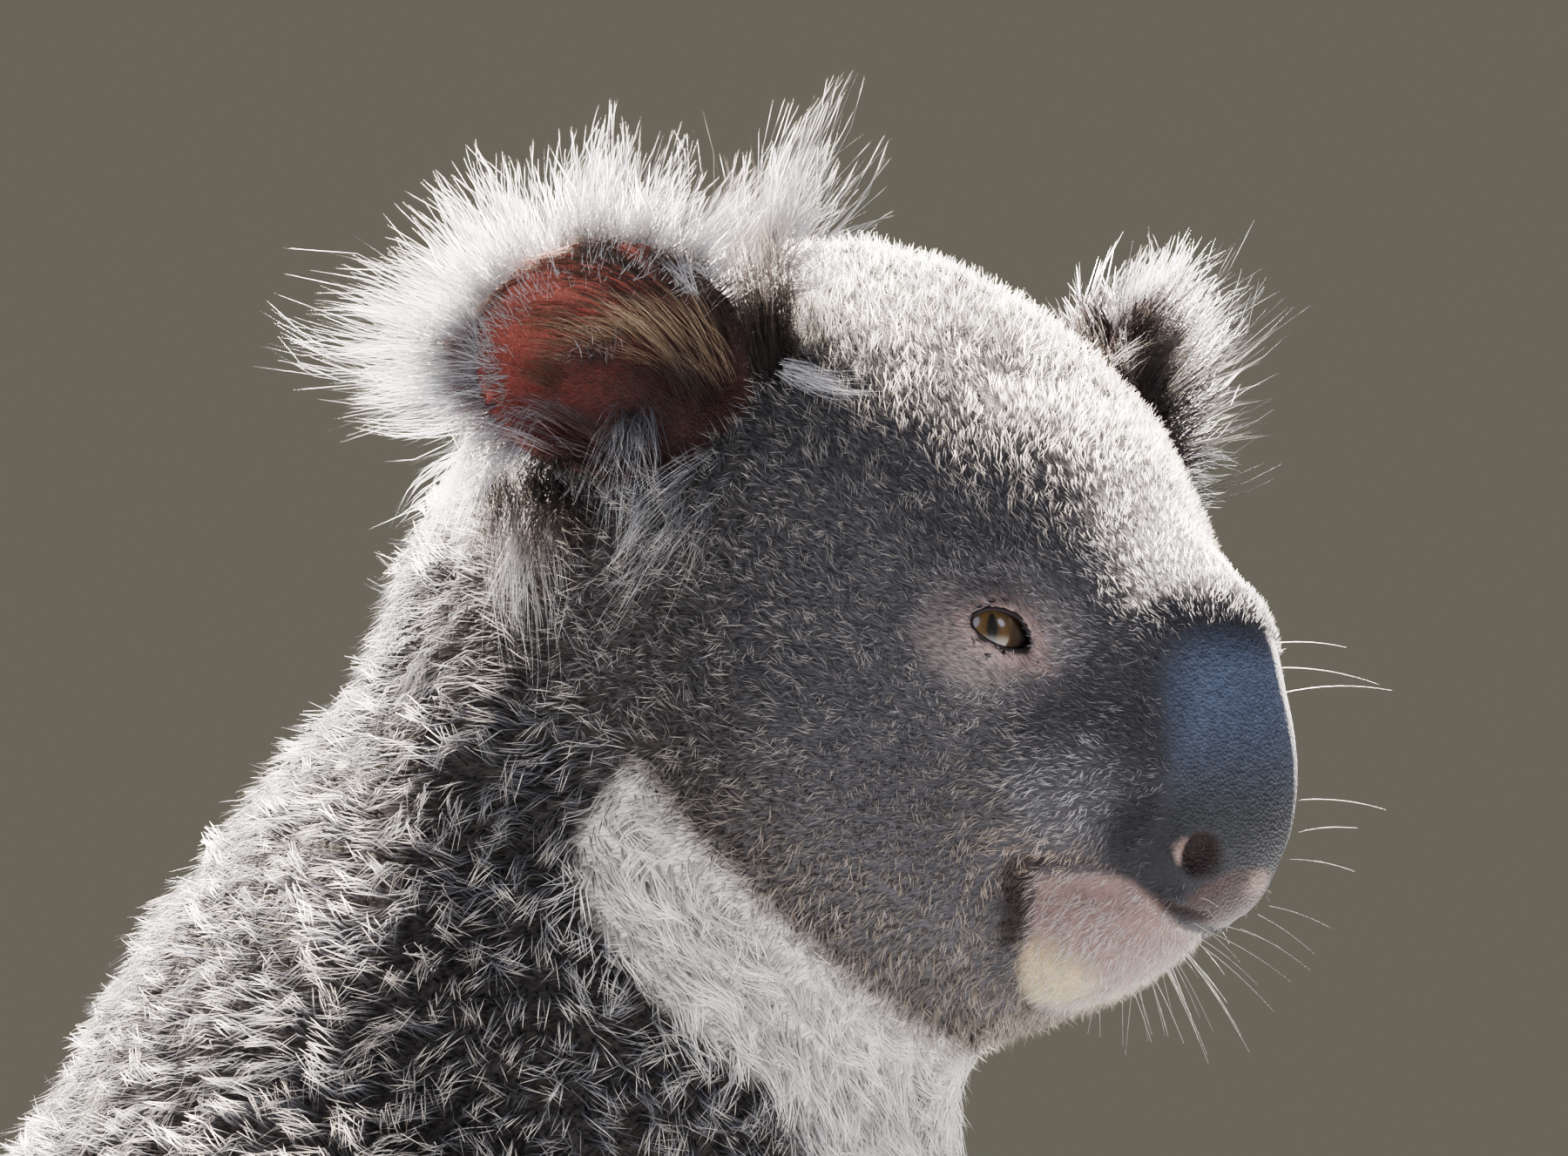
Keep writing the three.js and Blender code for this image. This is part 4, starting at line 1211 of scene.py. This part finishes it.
def ear_inner_hair(side, material, rng):
    """Fine hair over the hollow, swept round it: dark at the roots, tan in an arc across the middle, pale low
    down, and on the right ear darker towards the head as painted shade. The left ear's is dark with ash-grey
    hairs in it, as painted shade."""
    count = EARS[side]["hollow"]
    e = (rng.random((count, 3)) * 2 - 1).astype(F) * vec(EAR_BOWL_R[0], EAR_BOWL_R[1], 0)
    rho = np.hypot(e[:, 0] / EAR_BOWL_R[0], e[:, 1] / EAR_BOWL_R[1])
    e, rho = e[rho < 0.95], rho[rho < 0.95]
    e[:, 2] = bowl_at(rho) + 2.2
    count = len(e)
    sweep = np.radians(28 - 2.0 * (e[:, 0] + 4) - 0.8 * e[:, 1])
    start = np.stack([np.cos(sweep), np.sin(sweep), np.full(count, 0.3)], -1).astype(F)
    end = np.stack([np.cos(sweep - 0.4), np.sin(sweep - 0.4), 0.2 + 0.5 * rho], -1).astype(F)
    inner = smooth(-e[:, 0], -11, 5)
    sheen = 1 - smooth(np.abs(e[:, 1] - 4 + 0.02 * (e[:, 0] + 2) ** 2), 2, 7)
    low = smooth(-e[:, 1], 4, 10)
    chance = rng.random(count)
    # The left ear's hair is dark as painted shade; the right's darkens towards the head as painted shade.
    if side > 0:
        root, rest = HAIR["dark"], mixed(HAIR["dark"], HAIR["ash"], chance ** 2)
    else:
        root = mixed(HAIR["russet"], HAIR["dark"], inner)
        rest = mixed(HAIR["russet"] * 1.4, HAIR["tan"] * 0.8, chance ** 3)
        rest = mixed(rest, HAIR["umber"] * 0.8, inner)
        rest = mixed(rest, HAIR["tan"], sheen * inner)
        rest = mixed(rest, HAIR["silver"], low * (1 - inner) * (chance > 0.35))
    ear_hairs(f"ear_inner_hair_{SIDES[side]}", side, e, start, end, np.full(count, 12.0, F), 0.08,
              (root, rest, rest), material, rng, points=4, pull=0.0, stray=0.5)


# Tassels round the right ear and the left, in the ear's own space: root, spread of roots, tip, wisps, scatter
# of their tips as a share of the length, and shades from root to tip.
PALE, BLACK = ("grey", "silver", "white"), ("dark", "dark", "dark")
TASSELS = {
    -1: (((-27, -4, 7), (1.5, 4), (-18, 36, 8), 24, 0.05, BLACK),
         ((-25, -2, 7), (1.5, 4), (-23, 32, 9), 14, 0.07, ("dark", "dark", "umber")),
         ((-28, 4, 6), (1.5, 5), (-30, 31, 6), 9, 0.1, ("dark", "umber", "brown")),
         ((-25, 18, -2), (3.5, 4), (-37, 47, 1), 13, 0.14, PALE),
         ((-28, 16, -1), (3.5, 3), (-42, 37, 3), 11, 0.15, PALE),
         ((-30, 14, 0), (3, 3), (-45, 26, 4), 5, 0.13, PALE),
         ((-28, -3, 11), (1.5, 1.5), (-51, -12, 20), 7, 0.1, PALE),
         ((-26, -3, 7), (3, 5), (-26, 6, 12), 16, 0.1, BLACK),
         ((-12, 17, 1), (4, 1.5), (-17, 8, 7), 4, 0.14, PALE),
         ((-14, -19, 9), (9, 3), (4, -43, 4), 10, 0.2, ("soot", "grey", "white")),
         ((-20, -17, 11), (5, 3), (-4, -38, 7), 9, 0.17, ("soot", "ash", "cream")),
         ((-4, -9, -2), (3.5, 2), (3, -37, 14), 10, 0.16, ("ash", "grey", "white")),
         ((-5, -24, 6), (5, 3), (4, -47, 3), 7, 0.14, ("soot", "grey", "cream")),
         ((14, -24, -4), (2.5, 3), (17, -60, -4), 9, 0.12, ("dark", "grey", "white")),
         ((9, -20, 0), (6, 3), (12, -42, 0), 26, 0.12, BLACK),
         ((18, -20, -3), (3, 3), (20, -42, -6), 12, 0.12, ("dark", "dark", "ash")),
         ((22, -16, -5), (2, 4), (29, -40, -6), 8, 0.1, ("grey", "white", "white")),
         ((22, -20, -4), (2, 3), (41, -33, -4), 3, 0.05, ("grey", "white", "white")),
         ((22, -6, -3), (3, 5), (48, -9, -2), 11, 0.1, ("silver", "white", "white")),
         ((22, -4, -3), (3, 4), (50, -1, -2), 7, 0.08, ("silver", "white", "white"))),
    # The left ear's tassels are dark, as painted shade over its hollow and the side near the head.
    1: (((-16, 10, 2), (7, 7), (-18, 26, 16), 38, 0.2, ("dark", "dark", "soot")),
        ((2, 8, 2), (9, 8), (2, 24, 20), 38, 0.2, ("dark", "dark", "ash")),
        ((-8, -6, 2), (8, 5), (-6, 2, 20), 32, 0.2, ("dark", "dark", "ash")),
        ((-21, 2, -3), (3, 4), (-22, 21, -7), 34, 0.18, BLACK),
        ((-20, 1, 3), (3, 3), (-21, 16, 4), 26, 0.18, ("dark", "dark", "soot"))),
}


def ear_tassels(side, material, rng):
    """Each tassel is a handful of wisps whose tips fall short of its own tip by up to 0.45 of the way."""
    for number, (root, spread, tip, wisps, scattered, names) in enumerate(TASSELS[side], 1):
        way = vec(*tip) - vec(*root)
        scatter = rng.normal(size=(wisps, 3)) * vec(spread[0], spread[1], 1.5) * 0.6
        ends = vec(*root) + way * rng.uniform(0.55, 1.0, (wisps, 1)) + scatter * 0.5
        ends = ends + rng.normal(size=(wisps, 3)) * scattered * length_of(way)
        ear_wisps(f"ear_tassel_{SIDES[side]}_{number}", side, vec(*root) + scatter, ends, 20, 0.9, 0.075,
                  names, material, rng, bow=0.12)


def ear_coat(side, material, rng):
    """All the hair of one ear."""
    ear_back(side, material, rng)
    ear_fringe(side, material, rng)
    ear_rim_hair(side, material, rng)
    ear_inner_hair(side, material, rng)
    ear_tassels(side, material, rng)


# ---------------------------------------------------------------- eyes, claws, whiskers

def ring_quads(rings, sides):
    """Four corners for each cell of a grid that runs along rings and round sides, back to its start."""
    i, j = np.meshgrid(np.arange(rings - 1), np.arange(sides), indexing="ij")
    a, b = i * sides + j, i * sides + (j + 1) % sides
    return np.stack([a, a + sides, b + sides, b], -1).reshape(-1, 4)


def eye_place(side, e):
    """Points of an eye's own space in body space."""
    m = vec(EYE_SIDE, -EYE_AHEAD, -EYE_DROP) + from_eye_direction(e.astype(F))
    return from_head(m * vec(side, 1, 1))


CORNEA_HIGH, CORNEA_WIDE = 0.8, 0.62       # its swell at the pole, and the angle over which it dies away
PUPIL_R, IRIS_R = (0.75, 2.8), 6.0         # half width and half height of the slit, and the iris's radius
IRIS_INNER = 0.28                          # the iris attribute at the middle, outside the slit


def eye(side, material, rings=48, sides=64):
    """A ball less 0.3 all round, whose front swells by a cornea that dies away as a bell with the fourth
    power of the polar angle. The iris attribute is 0 inside the upright oval of the pupil, and outside it
    runs evenly to 1 at the edge of the iris; the rings at the poles are tiny."""
    word = SIDES[side]
    polar = np.linspace(0.001, math.pi - 0.001, rings)[:, None]
    around = np.linspace(0, 2 * math.pi, sides, endpoint=False)[None, :]
    swell = EYE_R - 0.3 + CORNEA_HIGH * np.exp(-(polar / CORNEA_WIDE) ** 4)
    x = swell * np.sin(polar) * np.cos(around)
    y = swell * np.sin(polar) * np.sin(around)
    z = swell * np.cos(polar) + 0 * around
    slit = np.hypot(x / PUPIL_R[0], y / PUPIL_R[1])
    iris = np.clip(np.hypot(x, y) / IRIS_R, 0, 1)
    value = np.where(z > 0, smooth(slit, 0.8, 1.2) * (IRIS_INNER + (1 - IRIS_INNER) * iris), 1.0)
    verts = eye_place(side, np.stack([x, y, z], -1).reshape(-1, 3))
    quads = ring_quads(rings, sides)
    piece = mesh_piece(f"eyeball_{word}", verts, quads if side > 0 else quads[:, ::-1], material)
    give(piece, "iris", value.reshape(-1))
    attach(piece, "root")
    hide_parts(f"eye_{word}")


def lid_rim(side, material):
    """The moist edge of the lids: a soft roll that follows the opening 0.45 over the ball, thicker above."""
    t = np.linspace(0, 2 * math.pi, 90)
    a = LID_LONG * np.cos(t)
    u = np.where(np.sin(t) > 0, 1, -1) * almond_height(a, np.where(np.sin(t) > 0, LID_UP, LID_DOWN))
    c, s = math.cos(LID_TILT), math.sin(LID_TILT)
    x, y = LID_MIDDLE[0] + a * c - u * s, LID_MIDDLE[1] + a * s + u * c
    z = np.sqrt(np.maximum((EYE_R + 0.45) ** 2 - x * x - y * y, 1))
    radii = 0.34 + 0.1 * (np.sin(t) > 0) * np.sin(t)
    verts, quads = tube(np.stack([x, y, z], -1), radii, 10)
    quads = quads if side > 0 else quads[:, ::-1]
    piece = mesh_piece(f"lid_rim_{SIDES[side]}", eye_place(side, verts), quads, material)
    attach(piece, "root")


def tube(line, radii, sides):
    """A tube round a centre line: at each of its points a ring of that point's radius, square to the line."""
    line, radii = np.asarray(line, F), np.asarray(radii, F)
    along = unit(np.gradient(line, axis=0))
    side = unit(np.cross(along, vec(0.3, 0.2, 1)))
    up = np.cross(side, along)
    turn = np.linspace(0, 2 * math.pi, sides, endpoint=False)
    ring = side[:, None] * np.cos(turn)[None, :, None] + up[:, None] * np.sin(turn)[None, :, None]
    verts = (line[:, None] + ring * radii[:, None, None]).reshape(-1, 3)
    return verts, ring_quads(len(line), sides)[:, [0, 3, 2, 1]]


def joined(parts):
    """Several meshes as one: their vertices in a row, their faces moved on by what came before."""
    verts, faces, start = [], [], 0
    for v, f in parts:
        verts.append(v)
        faces.append(f + start)
        start += len(v)
    return np.concatenate(verts), np.concatenate(faces)


CLAW_LONG, CLAW_R, CLAW_CURL = 21, 3.1, math.radians(62)
CLAW_ROOT = -0.12                          # where a claw starts inside its digit, as a share of its length


def claws(pad, digits, side, kind, material):
    """Each claw bends down over an arc from the digit's tip, its radius falling with the root of what is left
    of its length, from 3.2 to a point. A digit without a claw has the number 0."""
    word = SIDES[side]
    parts = []
    t = np.linspace(CLAW_ROOT, 1, 22)
    bend = CLAW_LONG / CLAW_CURL
    for x, y, aim, length, radius, number in digits:
        if not number:
            continue
        _, _, tip, ahead = digit_line(pad, x, y, aim, length, radius)
        out = bend * np.sin(CLAW_CURL * t) + 3
        down = bend * (1 - np.cos(CLAW_CURL * t))
        line = np.stack([tip[0] + ahead[0] * out, tip[1] + ahead[1] * out, radius * 0.8 + 5.5 - down], -1)
        radii = CLAW_R * np.sqrt(1 - np.clip(t, 0, 1)) * 0.95 + 0.25
        radii[0] = radii[-1] = 0.05
        verts, quads = tube(line, radii, 14)
        parts.append((verts * vec(side, 1, 1), quads if side > 0 else quads[:, ::-1]))
    verts, quads = joined(parts)
    verts[:, 2] = np.maximum(verts[:, 2], CLAW_CLEAR)
    piece = mesh_piece(f"claws_{kind}_{word}", verts, quads, material)
    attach(piece, "root")
    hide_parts(*(f"claw_{kind}_{word}_{d[5]}" for d in digits if d[5]))


# Whiskers: root ahead of, beside and above the head's origin, the way they point in the same order, length.
# Those above the lip grow on the left side alone, those of the lip and chin on both.
WHISKERS = (
    ((79, 13, -9), (1, 0.4, 0.12), 13), ((80, 15, -13), (1, 0.5, 0.0), 16),
    ((82, 15, -17), (1, 0.5, 0.2), 17), ((88, 12, -36), (1, 0.5, 0.05), 13),
    ((88, 12, -41), (1, 0.6, 0.25), 8), ((87, 11, -46), (1, 0.5, -0.05), 9),
    ((84, 9, -54), (0.9, 0.4, -0.2), 9), ((83, 7, -56), (0.9, 0.4, -0.5), 9),
    ((80, 6, -58), (0.9, 0.2, -0.35), 12), ((71, 5, -59), (0.9, 0.2, -0.5), 11),
    ((72, 3, -57), (0.9, 0.3, -0.35), 17), ((70, 6, -60), (0.8, 0.4, -0.6), 14),
    ((68, 4, -61), (0.6, 0.3, -0.8), 12), ((66, 7, -62), (0.6, 0.4, -0.9), 15),
    ((65, 3, -63), (0.5, 0.1, -1), 11), ((62, 6, -64), (0.4, 0.4, -1), 12),
    ((61, 2, -64.5), (0.5, 0.0, -1), 9), ((58, 7, -65), (0.2, 0.6, -1), 9),
    ((55, 4, -65.5), (0.3, 0.3, -1), 8), ((72, 8, -56), (0.9, 0.5, -0.2), 10),
    ((69, 2, -60.5), (0.8, 0.1, -0.8), 16), ((64, 9, -61), (0.5, 0.7, -0.8), 8),
    ((67, 1, -62), (0.7, 0.0, -0.9), 10), ((63, 4, -63.5), (0.3, 0.5, -1), 14),
)
LIP_TOP = -50                              # height of the lip's edge from the head's origin
WHISKER_ROOT, WHISKER_SAG = 2, 0.22        # how deep it is set, and its drop at the tip over its length


def whiskers(material):
    """Thin tubes that leave the skin straight and sag with the square of the way along them, their radius
    falling evenly from 0.067 to 0.02."""
    parts = []
    t = np.linspace(0, 1, 9)[:, None]
    for (ahead, beside, up), way, long in WHISKERS:
        for side in ((1, -1) if up < LIP_TOP else (1,)):
            aim = unit(np.array([way[1] * side, -way[0], way[2]]))
            sag = np.array([0, 0, -1]) * WHISKER_SAG * long
            root = np.array([beside * side, -ahead, up]) - aim * WHISKER_ROOT
            line = root + t * aim * (long + WHISKER_ROOT) + t ** 2 * sag
            parts.append(tube(from_head(line), 0.055 * (1 - 0.85 * t[:, 0]) + 0.012, 5))
    verts, quads = joined(parts)
    piece = mesh_piece("whiskers", verts, quads, material)
    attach(piece, "root")


# ---------------------------------------------------------------- the whole animal

MANTLE_FROM = 266                          # height where the mantle's pieces take over from the trunk's
SOLE_TOP = 1.2                             # no hair grows on skin that is this low, where the animal rests


def sort_roots(at, r):
    """Which coat piece each root belongs to: by part of the body, and by side where one piece is too big.
    Each rule below overrides those above it."""
    side = np.where(at[:, 0] >= 0, "left", "right")
    head_word = np.where(r["q"][:, 0] >= 0, "left", "right")
    m = r["m"]
    high = at[:, 2] > MANTLE_FROM
    arm = (arm_shape(m) < 2) & (leg_shape(m) > arm_shape(m)) & ~high
    leg = (leg_shape(m) < 2) & ~arm
    label = np.where(high, np.char.add("mantle_", side), np.char.add("trunk_", side)).astype("U16")
    rules = ((arm, np.char.add("arm_", side)), (leg, np.char.add("leg_", side)), (r["paw"] > 0.5, "paws"),
             (r["bib"] > 0.5, "bib"), (r["head"] > 0.5, np.char.add("head_", head_word)),
             ((r["head"] > 0.5) & (r["face"] > 0.6), "face"))
    for inside, name in rules:
        label = np.where(inside, name, label)
    return label


# Coat pieces: points on each hair's line, and the straight core round which the skin is laid flat.
HEAD_CORE = (tuple(from_head(np.array([0, 20, 0]))), tuple(from_head(np.array([0, -50, -24]))))
LIMB_CORES = {"arm": (SHOULDER, WRIST), "leg": (KNEE, ANKLE)}
PIECES = {
    "face": (2, HEAD_CORE), "head_left": (3, HEAD_CORE), "head_right": (3, HEAD_CORE),
    "mantle_left": (3, (THROAT, NAPE)), "mantle_right": (3, (THROAT, NAPE)), "bib": (3, (CHEST, THROAT)),
    "trunk_left": (3, (PELVIS, CHEST)), "trunk_right": (3, (PELVIS, CHEST)),
    "paws": (2, ((0, -240, 14), (0, -60, 14))),
}
FINE = ("head_left", "head_right")          # half of their hairs are straight underfur
for sign, word in SIDES.items():
    for limb, (a, b) in LIMB_CORES.items():
        PIECES[f"{limb}_{word}"] = (3, ((a[0] * sign, a[1], a[2]), (b[0] * sign, b[1], b[2])))


def dress_skin(vertices, quads, material):
    """The skin as one piece in place of all the flesh, with its colour, its leather and the lie of its
    shortest hair given at each vertex."""
    r = regions(vertices)
    skin = mesh_piece("skin", vertices, quads, material)
    give(skin, "skin_colour", skin_colours(r))
    give(skin, "leather", np.clip(r["nose"] + r["lip_front"] + r["ear"] + 0.6 * r["chin"], 0, 1))
    give(skin, "combed", combed(r["q"]))
    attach(skin, "root")
    flesh = [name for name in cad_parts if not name.startswith(("eye_", "claw_"))]
    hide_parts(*flesh)


def grow_coat(vertices, quads, material, rng):
    """Roots spread over the skin, one to the square of the spacing that the coat's plan gives there and none
    on bare places or under the animal, then the coat grown from them piece by piece."""
    normals, areas = normals_of(vertices, quads)
    middles = vertices[quads].mean(1)
    r = regions(middles)
    haired = np.clip(1 - r["nose"] * 1.2 - r["eyeball"] - r["mouth"] - r["lip_front"], 0, 1) * (1 - r["ear"])
    haired = haired * (middles[:, 2] > SOLE_TOP)
    at, n = roots_on(vertices, quads, normals, areas, haired / coat_plan(r)[:, SPACING] ** 2, rng)
    label = sort_roots(at, regions(at))
    for number, (name, (points, core)) in enumerate(PIECES.items()):
        chosen = label == name
        seed = 11.0 + number // 2
        if name in FINE:
            straight = rng.random(len(at)) < 0.5
            under = chosen & straight
            grow(f"underfur_{name}", at[under], n[under], 2, core, material, rng, seed)
            chosen = chosen & ~straight
        grow(f"coat_{name}", at[chosen], n[chosen], points, core, material, rng, seed)


def build_animal():
    """The skin, its coat, on both sides the ear's hair, the eye, its lids and the claws, then whiskers."""
    rng = np.random.default_rng(20)
    hair, skin_finish = hair_material(), skin_material()
    vertices, quads = build_skin()
    dress_skin(vertices, quads, skin_finish)
    grow_coat(vertices, quads, hair, rng)
    for side in SIDES:
        ear_coat(side, hair, rng)
        eye(side, EYE_FINISH)
        lid_rim(side, LID_FINISH)
        claws(PALM, FINGERS, side, "hand", CLAW_FINISH)
        claws(SOLE, TOES, side, "foot", CLAW_FINISH)
    whiskers(WHISKER_FINISH)


EYE_FINISH = eye_material()
# Horn of the claws: nearly black, worn to a dull gloss.
CLAW_FINISH = plain_material("claw_horn", "#2c2622", 0.35, IOR=1.54)
# Wet dark skin of the lids' edge: it shows as a thin dark line round the eye.
LID_FINISH = plain_material("moist_eyelid", "#1a1516", 0.55, IOR=1.4, Specular_IOR_Level=0.1)
# Keratin of the whiskers: pale and smooth, so that they catch the light from behind.
WHISKER_FINISH = plain_material("whisker_keratin", "#a39b92", 0.4, IOR=1.54)
build_animal()


# ---------------------------------------------------------------- studio

FLOOR_R, FLOOR_SIDES = 20000, 96


def floor():
    """One round sheet of matt paint at the level that the animal rests on."""
    turn = np.linspace(0, 2 * math.pi, FLOOR_SIDES, endpoint=False)
    ring = np.stack([np.cos(turn), np.sin(turn), np.zeros(FLOOR_SIDES)], -1) * FLOOR_R
    mesh = bpy.data.meshes.new("studio_floor")
    mesh.from_pydata((ring * MM).tolist(), [], [list(range(FLOOR_SIDES))])
    piece = bpy.data.objects.new("studio_floor", mesh)
    mesh.materials.append(plain_material("floor_paint", "#565b62", 0.8))
    bpy.context.scene.collection.objects.link(piece)


def look_along(thing, direction):
    """Turns a light or a camera so that it looks along a direction, and puts it in the scene."""
    thing.rotation_mode = "QUATERNION"
    thing.rotation_quaternion = Vector(direction).to_track_quat("-Z", "Y")
    bpy.context.scene.collection.objects.link(thing)


def soft_light(name, place, aim, width, power, colour, spread):
    """A round soft box, unseen by the camera itself; a grid can narrow its beam."""
    data = bpy.data.lights.new(name, "AREA")
    data.shape, data.size, data.energy = "DISK", width, power
    data.color = linear(colour)
    data.spread = math.radians(spread)
    light = bpy.data.objects.new(name, data)
    light.location = place
    light.visible_camera = False
    look_along(light, np.array(aim) - np.array(place))


# The camera looks at the head from its right, a little from below. BACK points from the head to it.
VIEW_AROUND, VIEW_UP = math.radians(-70), math.radians(-8)
BACK = np.array([math.sin(VIEW_AROUND) * math.cos(VIEW_UP),
                 -math.cos(VIEW_AROUND) * math.cos(VIEW_UP), math.sin(VIEW_UP)])
RIGHT = np.array([math.cos(VIEW_AROUND), math.sin(VIEW_AROUND), 0])
UP = np.cross(BACK, RIGHT)
FRAME_WIDE, FAR = 266.4, 2200.0            # what the frame spans at the head, and the camera's distance
FRAME_LEFT, FRAME_UP = 16.3, 8.4           # the frame's middle from the head's origin
FILM = 36                                  # width of the camera's sensor

# Lights: metres from the head towards the camera, to its right and up; width in metres, watts, colour, and
# the spread of the beam in degrees. The strong one stands behind the animal and rims it; the others fill in
# the shade, and the front one shows as a glint in the eye.
LIGHTS = {
    "rim_light": ((-1.3, -0.5, 1.6), 0.8, 3900, "#fff1e2", 140),
    "kicker_light": ((-2.0, 0.6, 0.3), 0.4, 13, "#fff6ec", 50),
    "fill_light": ((1.6, -0.9, 1.2), 1.3, 15.5, "#c8d8ff", 180),
    "front_light": ((1.1, 1.5, 1.0), 0.7, 7.4, "#d4e0ff", 180),
}


def camera():
    """A long lens near the floor, aimed behind the head so that the shoulder is in the frame."""
    data = bpy.data.cameras.new("camera")
    data.sensor_width = FILM
    data.lens = FILM * FAR / FRAME_WIDE
    data.clip_start, data.clip_end = 0.05, 60
    target = HEAD_ORIGIN - RIGHT * FRAME_LEFT + UP * FRAME_UP
    holder = bpy.data.objects.new("camera", data)
    holder.location = (target + BACK * FAR) * MM
    look_along(holder, -BACK)
    bpy.context.scene.camera = holder


def studio():
    """The floor, the lights round the head and an even backdrop."""
    floor()
    head = HEAD_ORIGIN * MM
    for name, ((back, right, up), width, power, colour, spread) in LIGHTS.items():
        place = head + BACK * back + RIGHT * right + UP * up
        soft_light(name, place, head, width, power, colour, spread)
    world = bpy.data.worlds.new("studio")
    bpy.context.scene.world = world
    world.use_nodes = True
    tree = world.node_tree
    tree.nodes.clear()
    sky = node(tree, "ShaderNodeBackground", Color=(*linear("#6a675c"), 1), Strength=1.0)
    node(tree, "ShaderNodeOutputWorld", links=[("Surface", sky, 0)])


studio()
camera()
